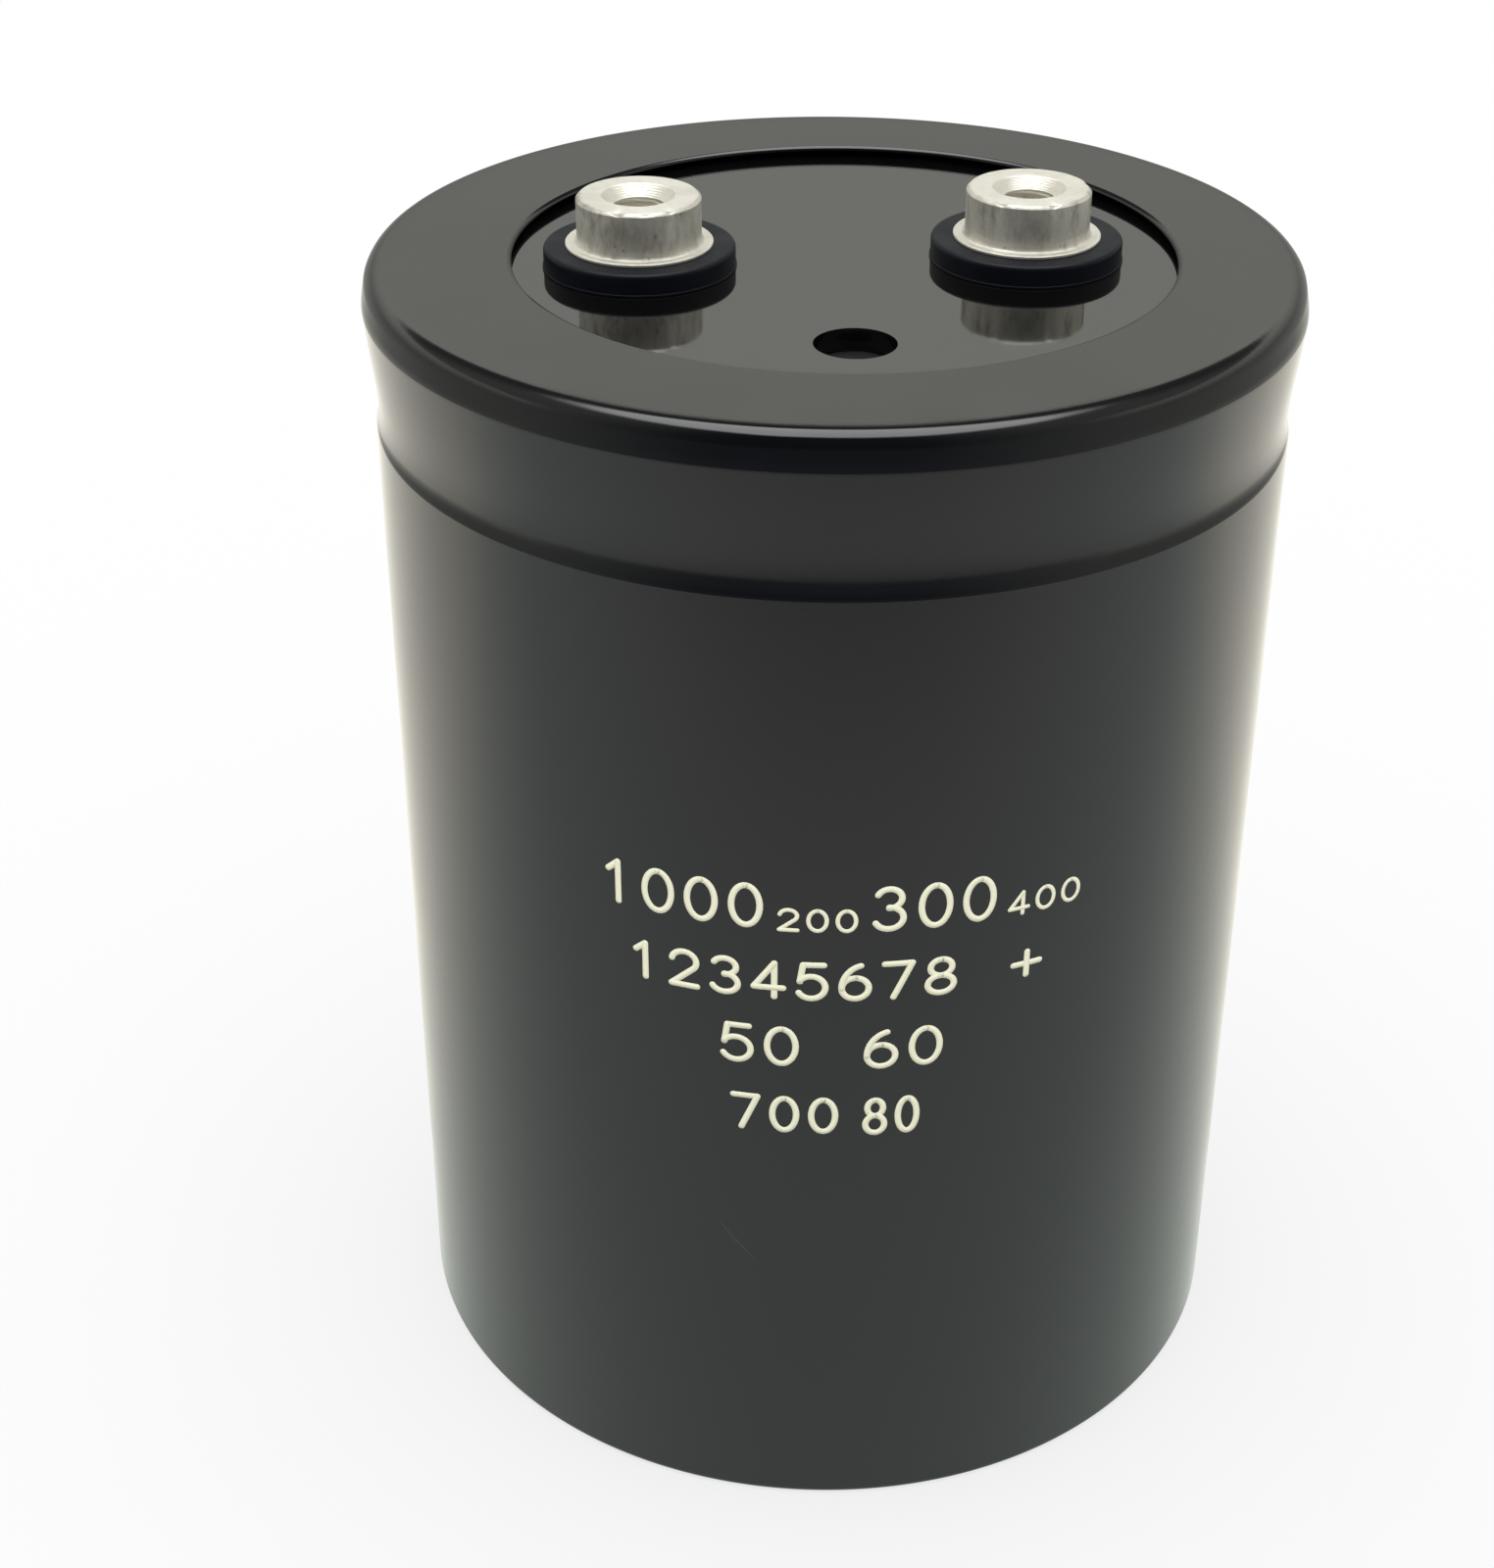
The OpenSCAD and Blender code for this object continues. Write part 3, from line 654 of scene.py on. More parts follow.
def terminal_material(name, settings, centre_x, foot_z, top_z):
    """Matte turned aluminium: lathe marks on top, and blotches, dark streaks and pits mostly down the side.

    The side is where the distance from the post's axis is about the post's radius. There the marks are made
    stronger and the metal is darkened as a whole, which is painted shade that keeps the side darker than
    the lit top. A broad dark band of painted shade, standing in for the dark room that the metal mirrors,
    runs down its front between the heights foot_z and top_z.
    """
    material, tree, shader, place = new_material(name, Metallic=0.85)
    centred = add_node(tree, "ShaderNodeMapping", {"Vector": place, "Location": (-centre_x, 0.0, 0.0)})
    local = centred.outputs["Vector"]
    wide = group_node(tree, "streaks", Vector=place, Across=420.0, Along=190.0, Low=0.45, High=0.74)
    thin = group_node(tree, "streaks", Vector=place, Across=1500.0, Along=700.0, Low=0.42, High=0.8)
    pits = group_node(tree, "specks", Vector=place, Density=1500.0, Size=0.3, Share=0.16)
    radius = measure_node(tree, "LENGTH", laid_flat(tree, local))
    post = settings.post_width / 2
    outer = ramp_node(tree, radius, post - 0.6 * MM, post - 0.05 * MM)
    flange = ramp_node(tree, radius, post + 0.1 * MM, post + 0.3 * MM)
    side = math_node(tree, "SUBTRACT", outer, flange)
    # Painted shade: the marks count for more on the side, which keeps it darker than the lit top
    stain_share_and_side_shade = math_node(tree, "MULTIPLY_ADD", side, 0.4, 0.15)
    stains_and_shade = math_node(tree, "MULTIPLY_ADD", thin["Mask"], 0.45, wide["Mask"])
    stains_and_shade = math_node(tree, "MULTIPLY_ADD", pits["Mask"], 0.5, stains_and_shade)
    stains_and_shade = math_node(tree, "MULTIPLY", stains_and_shade, stain_share_and_side_shade)
    # Painted shade: the whole side is darkened a little more
    stains_and_shade = math_node(tree, "MULTIPLY_ADD", side, 0.12, stains_and_shade)
    # Painted shade: a broad dark band down the front, standing in for the dark room that the metal mirrors
    ends = {"Start": (0.0, -post, foot_z), "End": (0.0, -post, top_z)}
    painted_front_shade = group_node(tree, "hairline", Vector=local, Width=2.8 * MM, **ends)
    stains_and_shade = math_node(tree, "MULTIPLY_ADD", painted_front_shade["Mask"], 0.35, stains_and_shade, clamp=True)
    # The dark colour serves both the real marks and the painted shade
    tint = mix_colours(tree, stains_and_shade, settings.metal, settings.stain_and_shade_colour)
    rough = ramp_node(tree, stains_and_shade, 0.0, 0.6, 0.48, 0.62)
    lathe = group_node(tree, "lathe", Vector=local, Pitch=0.16 * MM)
    grain = noise_node(tree, place, 1 / (0.3 * MM), 3.0)
    height = math_node(tree, "MULTIPLY_ADD", lathe["Height"], 0.15, grain)
    finish(shader, tint, rough, height, 0.03 * MM)
    return material


def ink_material(settings):
    """Cream printing ink, slightly uneven."""
    material, tree, shader, place = new_material("print_ink", IOR=1.45)
    noise = noise_node(tree, place, 1 / (0.5 * MM), 3.0)
    paler = [min(1.0, c * 1.05 + 0.03) for c in settings.ink]
    tint = mix_colours(tree, noise, settings.ink, paler)
    fill(shader, {"Base Color": tint, "Roughness": ramp_node(tree, noise, 0.3, 0.7, 0.45, 0.6)})
    return material


def drawn_material(name, base, streak, roughness):
    """Drawn or rolled aluminium with fine streaks along Z."""
    material, tree, shader, place = new_material(name, Metallic=1.0)
    streaks = group_node(tree, "streaks", Vector=place, Across=1500.0, Along=40.0, Low=0.35, High=0.75)
    marks = streaks["Mask"]
    rough = ramp_node(tree, marks, 0.0, 1.0, roughness, roughness + 0.15)
    finish(shader, mix_colours(tree, marks, base, streak), rough, marks, 0.01 * MM)
    return material


def roll_material():
    """Soaked paper and foil: rings that follow the turns of the roll."""
    material, tree, shader, place = new_material("roll_paper")
    turns = group_node(tree, "lathe", Vector=place, Pitch=0.4 * MM)["Height"]
    paper = ramp_node(tree, turns, -0.6, 0.6)
    tint = mix_colours(tree, paper, (0.38, 0.34, 0.27), (0.66, 0.60, 0.48))
    finish(shader, tint, 0.7, turns, 0.05 * MM)
    return material


def dull_material(name, dark, light, roughness, relief, depth):
    """A dull material between two shades. The relief is its grain, its waves and the waves' share."""
    material, tree, shader, place = new_material(name)
    grain, wave, part = relief
    height = group_node(tree, "relief", Vector=place, Grain=grain, Wave=wave, Share=part)["Height"]
    finish(shader, mix_colours(tree, height, dark, light), roughness, height, depth * MM)
    return material


# Metals inside: name, two colours and roughness, and the parts that wear it
INNER_METALS = (
    (("can_metal", (0.62, 0.63, 0.64), (0.5, 0.5, 0.51), 0.3), ["can"]),
    (
        ("foil", (0.72, 0.72, 0.73), (0.6, 0.6, 0.61), 0.25),
        [f"tab_{sign}_{end}" for sign in ("positive", "negative") for end in ("inner", "outer")],
    ),
    (
        ("washer_metal", (0.6, 0.6, 0.6), (0.48, 0.48, 0.49), 0.35),
        ["washer_positive", "washer_negative"],
    ),
)

# Dull materials inside: name, two colours, roughness, relief and its depth in millimetres, and the
# parts that wear it
INNER_DULLS = (
    (
        ("fibre_board", (0.36, 0.25, 0.13), (0.62, 0.48, 0.30), 0.85, (1800.0, 250.0, 0.3), 0.05),
        ["top_insulator", "bottom_insulator"],
    ),
    (
        ("wrap_tape", (0.5, 0.4, 0.18), (0.66, 0.56, 0.3), 0.35, (500.0, 120.0, 0.4), 0.02),
        ["winding_wrap"],
    ),
    (
        ("potting", (0.012, 0.008, 0.005), (0.03, 0.02, 0.012), 0.45, (400.0, 120.0, 0.4), 0.05),
        ["anchor_ring"],
    ),
    (
        ("insulating_film", (0.008, 0.008, 0.008), (0.02, 0.02, 0.019), 0.6, (1500.0, 120.0, 0.4), 0.02),
        ["base_disc"],
    ),
)


def dress(material, nodes):
    """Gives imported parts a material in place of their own."""
    for name in nodes:
        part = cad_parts[name]
        part.data.materials.clear()
        part.data.materials.append(material)


# Sleeve


def lap_edge(settings, angles):
    """Distance from the axis to the upper lap's edge at each angle.

    The edge is a circle moved off the axis, so at the angle t the distance is
    p + sqrt(R^2 - s^2 + p^2), where R is the circle's radius, s its shift and p the shift's part along t.
    """
    radius = float(span("collar_positive")[1][0]) + settings.lap_clear
    shift_x, shift_y = settings.lap_shift_x, settings.lap_shift_y
    p = shift_x * np.cos(angles) + shift_y * np.sin(angles)
    return p + np.sqrt(radius**2 - shift_x**2 - shift_y**2 + p**2)


def sleeve_side(settings, inset, dip, dip_rise):
    """Outline of the sleeve's side from the base lap up to the end of the shoulder, moved in by inset.

    From the groove's lower edge up to the rim's widest place, at the height h, the radius is
    body + swell * v^1.5 - dip * (1 - v) * u * e^(1 - u), with u = h / dip_rise and v from 0 to 1. The rim's
    side then leans in up to the arc of the shoulder, and bows out by 4 * bulge * s * (1 - s).
    """
    high = span("sleeve")[1]
    rim, top = float(high[0]), float(high[2])
    body = rim - settings.rim_swell
    rim_z = top - settings.rim_drop
    groove_z = top - settings.groove_drop - settings.groove_height / 2
    corner = settings.base_corner
    shoulder = settings.shoulder
    lean = math.degrees(settings.rim_lean)
    side_h = top - shoulder + shoulder * math.sin(settings.rim_lean) - rim_z
    shoulder_x = rim - side_h * math.tan(settings.rim_lean) - shoulder * math.cos(settings.rim_lean)
    v = np.linspace(0, 1, 41)
    u = v * (rim_z - groove_z) / dip_rise
    sunk = dip * (1 - v) * u * np.exp(1 - u)
    neck_r = body - inset + settings.rim_swell * v**1.5 - sunk
    neck = np.column_stack([neck_r, groove_z + (rim_z - groove_z) * v])
    steep = math.degrees(math.atan(settings.roll_off / settings.roll_width))
    centre = (shoulder_x, top - settings.roll_off - shoulder * math.cos(math.radians(steep)))
    round_top = arc(centre, shoulder - inset, lean, 90 - steep, steps=16)
    side = straight(neck[-1], round_top[0], steps=8)
    s = (side[:, 1] - side[0, 1]) / (side[-1, 1] - side[0, 1])
    side[:, 0] += 4 * settings.rim_bulge * s * (1 - s)
    outline = np.concatenate(
        [
            straight((body - settings.base_lap, inset), (body - corner, inset)),
            arc((body - corner, corner), corner - inset, -90, 0, steps=10),
            straight((body - inset, corner), (body - inset, groove_z), steps=22),
            neck,
            side,
            round_top,
        ]
    )
    return without_doubles(outline)


def shoulder_ripple(settings, outline, angles):
    """How far each point sinks where the film has shrunk unevenly.

    It is a sum of sines of whole numbers of waves round the rim. Down from the top it goes as
    sin(pi d / reach), so that it fades out below the shoulder.
    """
    draw = np.random.default_rng(7)
    waves = np.array([5, 9, 14, 23, 37])
    phases = draw.uniform(0, 2 * math.pi, len(waves))
    heights = draw.uniform(0.5, 1.0, len(waves)) / np.sqrt(waves)
    swing = (heights[:, None] * np.sin(waves[:, None] * angles + phases[:, None])).sum(axis=0)
    swing = (swing - swing.min()) / (swing.max() - swing.min())
    top = outline[-1, 1]
    reach = 1.6 * settings.shoulder
    fade = np.sin(math.pi * np.clip((top - outline[:, 1]) / reach, 0, 1))
    return settings.ripple * fade[:, None] * swing[None, :]


# Shares of the top's width at which it has points: close together near the shoulder and the lap's edge
TOP_ROWS = np.array([*np.geomspace(0.006, 0.3, 14), 0.5, 0.7, 0.9, 0.98, 0.997, 1.0])[:, None]
# The same for the film's underside, from the lap's edge out to the inner shoulder
UNDER_ROWS = np.array([0.03, 0.5, 0.97])[:, None]
# How far past its start the lap's rounding has its first row, which keeps its shading off the flat top
NOSE_CLOSE = 0.02


def build_sleeve(settings):
    """The shrink sleeve as one closed shell, with both laps and the rounded edge of the upper one.

    From the shoulder inwards the top climbs the last bit as roll_off * (1 - e^(-d / width)), with d the
    distance from the shoulder, and the lap's edge is a part of an ellipse's quarter. Where the film has
    shrunk unevenly, it sinks half as far down as it sinks in.
    """
    angles = np.linspace(0, 2 * math.pi, settings.columns, endpoint=False)
    outside = sleeve_side(settings, 0.0, settings.dip, settings.dip_rise)
    inside = sleeve_side(settings, settings.wall, settings.inner_dip, settings.inner_rise)[::-1]
    sink = shoulder_ripple(settings, outside, angles)
    wide = np.ones((1, settings.columns))
    edge = lap_edge(settings, angles)[None, :]
    top = top_of("sleeve")

    end_r, end_z = outside[-1]
    start = math.pi / 2 + settings.lap_start
    lap_r = end_r + (edge + settings.lap_nose * (1 + math.cos(start)) - end_r) * TOP_ROWS
    climb = settings.roll_off * (1 - np.exp((lap_r - end_r) / settings.roll_width))
    turn = np.array([start + NOSE_CLOSE, *np.linspace(start, math.pi, 10)[1:]])[:, None]
    nose_r = edge + settings.lap_nose * (1 + np.cos(turn))
    nose_z = top - settings.lap_round * (1 - np.sin(turn) / math.sin(start)) * wide
    under_r = edge + (inside[0, 0] - edge) * UNDER_ROWS

    radius = np.concatenate([outside[:, :1] * wide - sink, lap_r, nose_r, under_r, inside[:, :1] * wide])
    height = np.concatenate(
        [
            outside[:, 1:] * wide - 0.5 * sink,
            end_z + climb,
            nose_z,
            np.full_like(under_r, top - settings.wall),
            inside[:, 1:] * wide,
        ]
    )
    shell = patch(turned(radius, height, settings.columns), closed_rows=True)
    mesh_object("shrink_sleeve", [shell], film_material(settings), ["sleeve"])


# Print


def run(*points):
    """A straight stroke through points of the unit figure."""
    return np.array(points, float)


def bow(centre_x, centre_y, radius_x, radius_y, start, end):
    """A curved stroke: an ellipse's arc from one angle to another, in degrees."""
    a = np.radians(np.linspace(start, end, 41))
    return np.column_stack([centre_x + radius_x * np.cos(a), centre_y + radius_y * np.sin(a)])


def joined(*strokes):
    """Strokes that run on into each other without a corner."""
    return np.concatenate(strokes)


# Strokes of each figure in a box one unit wide and one high
FIGURES = {
    "0": [bow(0.5, 0.5, 0.46, 0.5, 90, 450)],
    "1": [run((0.2, 0.78), (0.55, 1.0)), run((0.55, 1.0), (0.55, 0.0))],
    "2": [joined(bow(0.5, 0.71, 0.44, 0.29, 170, -35), run((0.04, 0.0))), run((0.04, 0.0), (0.96, 0.0))],
    "3": [bow(0.46, 0.76, 0.4, 0.24, 155, -90), bow(0.46, 0.27, 0.46, 0.27, 90, -155)],
    "4": [run((0.7, 0.0), (0.7, 1.0)), run((0.7, 1.0), (0.0, 0.27)), run((0.0, 0.27), (1.0, 0.27))],
    "5": [
        run((0.9, 1.0), (0.2, 1.0)),
        run((0.2, 1.0), (0.1, 0.5)),
        bow(0.48, 0.33, 0.48, 0.33, 142, -150),
    ],
    "6": [bow(0.5, 0.31, 0.46, 0.31, 90, 450), bow(0.86, 0.31, 0.82, 0.69, 103, 180)],
    "7": [run((0.02, 1.0), (0.96, 1.0)), run((0.96, 1.0), (0.34, 0.0))],
    "8": [bow(0.5, 0.76, 0.38, 0.24, 90, 450), bow(0.5, 0.26, 0.46, 0.26, 90, 450)],
    "+": [run((0.0, 0.5), (1.0, 0.5)), run((0.5, 0.0), (0.5, 1.0))],
}

# Each printed group: figures, first and last angle in degrees, height of its foot and of its
# figures in millimetres, and whether its strokes are bold
PRINTED = (
    ("1000", -122.8, -102.2, 60.3, 4.15, True),
    ("200", -100.8, -91.1, 60.2, 2.2, False),
    ("300", -89.7, -74.4, 60.2, 4.2, True),
    ("400", -73.0, -63.0, 60.0, 2.3, False),
    ("12345678", -119.3, -78.9, 53.7, 3.7, True),
    ("+", -72.2, -67.9, 53.9, 2.7, True),
    ("50", -107.8, -97.8, 47.2, 3.9, True),
    ("60", -90.3, -80.3, 47.0, 3.9, True),
    ("700", -106.4, -92.9, 40.5, 3.7, True),
    ("80", -90.2, -82.9, 40.3, 3.8, True),
)

# Gap between two figures, in widths of a figure
FIGURE_GAP = 0.2
# Part of its height by which a stroke stands higher than the one before it in the same figure
LAYER_STEP = 0.1
# A stroke's round end: where its rows begin in the quarter circle, their number, and its least width
CAP_START = 0.12
CAP_ROWS = 7
CAP_LEAST = 0.1


def ribbon(path, half_width, step, place, low, high):
    """Closed flat ribbon along a path in the plane of the print.

    Points lie step apart along the path. The half width is constant and closes at both ends as
    sqrt(w^2 - d^2), with d the distance past the path's end, so the ends are round. Their first and
    last rows keep a tenth of the width.
    """
    pieces = np.linalg.norm(np.diff(path, axis=0), axis=1)
    total = pieces.sum()
    first = path[0] - (path[1] - path[0]) / pieces[0] * half_width
    last = path[-1] + (path[-1] - path[-2]) / pieces[-1] * half_width
    longer = np.concatenate([[first], path, [last]])
    knots = np.concatenate([[-half_width], [0], np.cumsum(pieces), [total + half_width]])
    cap = half_width * (1 - np.cos(np.linspace(CAP_START, 1, CAP_ROWS) * math.pi / 2))
    inner = np.linspace(0, total, max(2, int(total / step) + 1))
    s = np.concatenate([cap - half_width, inner[1:-1], total + half_width - cap[::-1]])
    spot = np.column_stack([np.interp(s, knots, longer[:, k]) for k in (0, 1)])
    ahead = np.gradient(spot, s, axis=0)
    ahead /= np.linalg.norm(ahead, axis=1, keepdims=True)
    left = np.column_stack([-ahead[:, 1], ahead[:, 0]])
    past = np.maximum(np.maximum(-s, s - total), 0)
    half = np.sqrt(np.maximum(half_width**2 - past**2, (CAP_LEAST * half_width) ** 2))[:, None]
    sides = [(left, high), (-left, high), (-left, low), (left, low)]
    points = np.stack([place(spot + side * half, level) for side, level in sides], axis=1)
    return patch(points, start=points[0].mean(axis=0), end=points[-1].mean(axis=0))


def build_print(settings, sleeve):
    """The printed figures: ribbons of ink laid on the sleeve's side."""
    body = float(span("sleeve")[1][0]) - sleeve.rim_swell

    def place(flat, level):
        """Wraps the print's plane round the body: x is distance along it, y is height."""
        t = flat[:, 0] / body
        r = body + level
        return np.column_stack([r * np.cos(t), r * np.sin(t), flat[:, 1]])

    patches = []
    for figures, first, last, foot, tall, bold in PRINTED:
        half = (settings.bold if bold else settings.fine) / 2
        left = math.radians(first) * body
        total = math.radians(last - first) * body
        wide = total / (len(figures) + FIGURE_GAP * (len(figures) - 1))
        for index, figure in enumerate(figures):
            corner = np.array([left + index * wide * (1 + FIGURE_GAP) + half, foot * MM + half])
            size = np.array([wide - 2 * half, tall * MM - 2 * half])
            for layer, stroke in enumerate(FIGURES[figure]):
                high = settings.proud * (1 + LAYER_STEP * layer)
                patches.append(
                    ribbon(corner + stroke * size, half, settings.step, place, -settings.proud, high)
                )
    mesh_object("sleeve_print", patches, ink_material(settings))


# Terminals and collars

# Radius of the opening that a turned outline leaves at its axis, and that one point closes
AXIS_GAP = 0.02 * MM
# Roundings of a terminal's corners in millimetres, from its foot up to its countersink
TERMINAL_ROUNDINGS = (0, 0.35, 0.3, 0.1, 0.1, 0.15, 0, 0.08, 0.08, 0.35, 0.08, 0.08, 0.06, 0)
# The same for the vent plug, from the foot of its stem to the floor of its dimple
VENT_ROUNDINGS = (0, 0.2, 0.05, 0.1, 0.25, 0.25, 0.25, 0)
# Half of the angle of a drill's point
DRILL_POINT = math.radians(59)


def turned_outline(corners, roundings):
    """Outline through corners given as (radius, height), with their roundings in millimetres."""
    return rounded_outline([(*corner, q * MM) for corner, q in zip(corners, roundings, strict=True)])


def terminal_outline(settings, node):
    """A terminal's outline as (radius, height), and its hole's radius, upper end and floor."""
    top, bottom = top_of(node), foot_of(node)
    deck_under = foot_of("deck")
    flange_under = top_of("collar_positive")
    flange = half_width(node)
    post = settings.post_width / 2
    flange_top = flange_under + settings.flange_height
    peen_top = bottom + settings.peen_height
    peen = settings.peen_width / 2
    tenon = settings.tenon_width / 2
    shank = settings.shank_width / 2
    hole = settings.hole_width / 2
    mouth = settings.mouth_width / 2
    mouth_z = top - (mouth - hole)
    corners = [
        (AXIS_GAP, bottom),
        (peen, bottom),
        (peen, peen_top),
        (tenon, peen_top),
        (tenon, deck_under),
        (shank, deck_under),
        (shank, flange_under),
        (flange, flange_under),
        (flange, flange_top),
        (post, flange_top),
        (post, top - settings.chamfer),
        (post - settings.chamfer, top),
        (mouth, top),
        (hole, mouth_z),
    ]
    return turned_outline(corners, TERMINAL_ROUNDINGS), (hole, mouth_z, top - settings.hole_depth)


def terminal_points(settings, node):
    """Grid of a terminal, and its lowest and deepest points.

    Outside it is a turned outline, cut by the shank's flats: there the radius is at most f / |sin t|.
    In the hole the radius is hole + depth * w, where w is a triangle wave of z / pitch - t / (2 pi),
    which is a right-hand thread that runs out at both ends.
    """
    outline, (hole, mouth_z, floor_z) = terminal_outline(settings, node)
    centre_x = middle_of(node)[0]
    shank = settings.shank_width / 2
    t = np.linspace(0, 2 * math.pi, settings.columns, endpoint=False)[None, :]

    radius = outline[:, :1] * np.ones_like(t)
    slack = 0.001 * MM
    in_shank = (
        (outline[:, 1] > foot_of("deck") - slack)
        & (outline[:, 1] < top_of("collar_positive") + slack)
        & (outline[:, 0] < shank + slack)
    )
    flats = settings.shank_flats / 2 / np.maximum(np.abs(np.sin(t)), 0.01)
    radius[in_shank] = np.minimum(radius[in_shank], flats)

    rows = int((mouth_z - floor_z) / settings.thread_pitch * settings.thread_rows)
    z = np.linspace(mouth_z, floor_z, rows + 1)[1:, None]
    phase = np.mod(z / settings.thread_pitch - t / (2 * math.pi), 1)
    wave = 1 - np.abs(2 * phase - 1)
    run_out = np.clip((mouth_z - z) / (0.5 * settings.thread_pitch), 0, 1)
    run_out = run_out * np.clip((z - floor_z) / settings.thread_pitch, 0, 1)
    threaded = hole + settings.thread_depth * wave * run_out

    radius = np.concatenate([radius, threaded])
    height = np.concatenate([outline[:, 1:] * np.ones_like(t), z * np.ones_like(t)])
    points = turned(radius, height, settings.columns, centre_x)
    foot = (centre_x, 0.0, foot_of(node))
    tip = (centre_x, 0.0, floor_z - hole / math.tan(DRILL_POINT))
    return points, foot, tip


# How far a nick is pushed down for each unit that it is pushed in
NICK_DROP = 0.8
# Nicks on the posts' upper edges: angle in degrees, depth and width in millimetres
POST_NICKS = {
    "terminal_negative": ((-112, 0.16, 0.35), (-85, 0.10, 0.25), (-60, 0.13, 0.3), (-20, 0.08, 0.3)),
    "terminal_positive": ((-125, 0.12, 0.3), (-74, 0.15, 0.3), (-35, 0.1, 0.35), (8, 0.14, 0.4)),
}


def build_terminal(settings, node, piece_name):
    """A terminal with its thread and the nicks round its top."""
    points, foot, tip = terminal_points(settings, node)
    post = settings.post_width / 2
    top = top_of(node)
    for degrees, depth, width in POST_NICKS[node]:
        a = math.radians(degrees)
        outwards = np.array([math.cos(a), math.sin(a), 0.0])
        spot = np.array([foot[0], 0.0, top]) + post * outwards
        push = -(outwards + np.array([0.0, 0.0, NICK_DROP])) * depth * MM
        points = dent(points, spot, push, width * MM)
    material = terminal_material(piece_name, settings, foot[0], top_of("collar_positive"), top)
    shell = patch(points, start=foot, end=tip)
    mesh_object(piece_name, [shell], material, [node])


# Gap between a collar's bore and the terminal's shank, and the rounding of the bore's edges
COLLAR_GAP = 0.1 * MM
BORE_EDGE = 0.08 * MM


def build_collar(settings, node, piece_name, material):
    """A black collar: a ring with a rounded upper edge, and a thin foot that stands out a little.

    The foot stands out by half of its height, and its roundings are parts of that height.
    """
    bottom, top = foot_of(node), top_of(node)
    outer = half_width(node)
    inner = settings.shank_width / 2 + COLLAR_GAP
    foot = settings.collar_foot
    side = outer - foot / 2
    corners = [
        (inner, bottom, BORE_EDGE),
        (outer, bottom, foot / 3),
        (outer, bottom + foot, foot / 3),
        (side, bottom + foot, foot / 6),
        (side, top, settings.collar_edge),
        (inner, top, BORE_EDGE),
    ]
    outline = rounded_outline(corners, closed=True, steps=8)
    points = turned(outline[:, 0], outline[:, 1], settings.columns, *middle_of(node))
    shell = patch(points, closed_rows=True)
    mesh_object(piece_name, [shell], material, [node])


def build_vent_plug(settings):
    """The safety vent's rubber plug: a stem, a head and a dimple in the head."""
    head = half_width("vent_plug")
    stem = settings.stem_width / 2
    dimple = settings.dimple_width / 2
    top, bottom = top_of("vent_plug"), foot_of("vent_plug")
    head_z = top - settings.head_height
    floor_z = top - settings.dimple_depth
    corners = [
        (AXIS_GAP, bottom),
        (stem, bottom),
        (stem, head_z),
        (head, head_z),
        (head, top),
        (dimple, top),
        (dimple, floor_z),
        (AXIS_GAP, floor_z),
    ]
    outline = turned_outline(corners, VENT_ROUNDINGS)
    x, y = middle_of("vent_plug")
    points = turned(outline[:, 0], outline[:, 1], settings.columns, x, y)
    shell = patch(points, start=(x, y, bottom), end=(x, y, floor_z))
    material = rubber_material("vent_rubber", settings.rubber, 0.45, 0.6)
    mesh_object("vent_seal", [shell], material, ["vent_plug"])


# Stage


def ray_masks(tree):
    """Two masks: rays from the camera, and rays that a surface mirrors or lets through."""
    path = tree.nodes.new("ShaderNodeLightPath").outputs
    reflected = math_node(tree, "MAXIMUM", path["Is Glossy Ray"], path["Is Transmission Ray"])
    return path["Is Camera Ray"], reflected


def floor_material(settings):
    """Pale paper that is seen at its full brightness and still takes the object's shadow.

    Reflections see it warm and bright behind the object, cooler in front, and fading out towards the
    camera: the glow follows y in two smooth steps.
    """
    material = bpy.data.materials.new("stage_paper")
    material.use_nodes = True
    tree = material.node_tree
    tree.nodes.clear()
    albedo = settings.floor_albedo
    diffuse = add_node(tree, "ShaderNodeBsdfDiffuse", {"Color": (albedo, albedo, albedo, 1)})
    place = tree.nodes.new("ShaderNodeTexCoord").outputs["Object"]
    y = add_node(tree, "ShaderNodeSeparateXYZ", {"Vector": place}).outputs["Y"]
    turn = settings.glow_turn
    front = ramp_node(tree, y, -settings.front_reach, -turn, 0.0, settings.front_glow)
    behind = ramp_node(tree, y, -turn, turn)
    rise = math_node(tree, "MULTIPLY", behind, settings.back_glow - settings.front_glow)
    close = ramp_node(tree, y, -3 * turn, -turn)
    tint = mix_colours(tree, close, settings.floor_plain, settings.floor_cool)
    tint = mix_colours(tree, behind, tint, settings.floor_warm)
    camera_ray, reflected = ray_masks(tree)
    shown = mix_colours(tree, reflected, BLACK, scaled(tree, tint, math_node(tree, "ADD", front, rise)))
    glow = mix_colours(tree, camera_ray, shown, [settings.floor_glow] * 3)
    light = add_node(tree, "ShaderNodeEmission", {"Color": glow, "Strength": 1.0})
    both = add_node(tree, "ShaderNodeAddShader", {0: diffuse.outputs[0], 1: light.outputs[0]})
    add_node(tree, "ShaderNodeOutputMaterial", {"Surface": both.outputs[0]})
    return material


def build_floor(settings):
    """A flat disc under the base."""
    radii = np.array([1.0, 0.5, 0.01]) * settings.floor_radius
    points = turned(radii, np.full(len(radii), -settings.floor_drop), columns=96)
    vertices, faces = patch(points, end=(0.0, 0.0, -settings.floor_drop))
    mesh = bpy.data.meshes.new("stage_floor")
    mesh.from_pydata(vertices.tolist(), [], faces)
    mesh.materials.append(floor_material(settings))
    floor = bpy.data.objects.new("stage_floor", mesh)
    bpy.context.scene.collection.objects.link(floor)


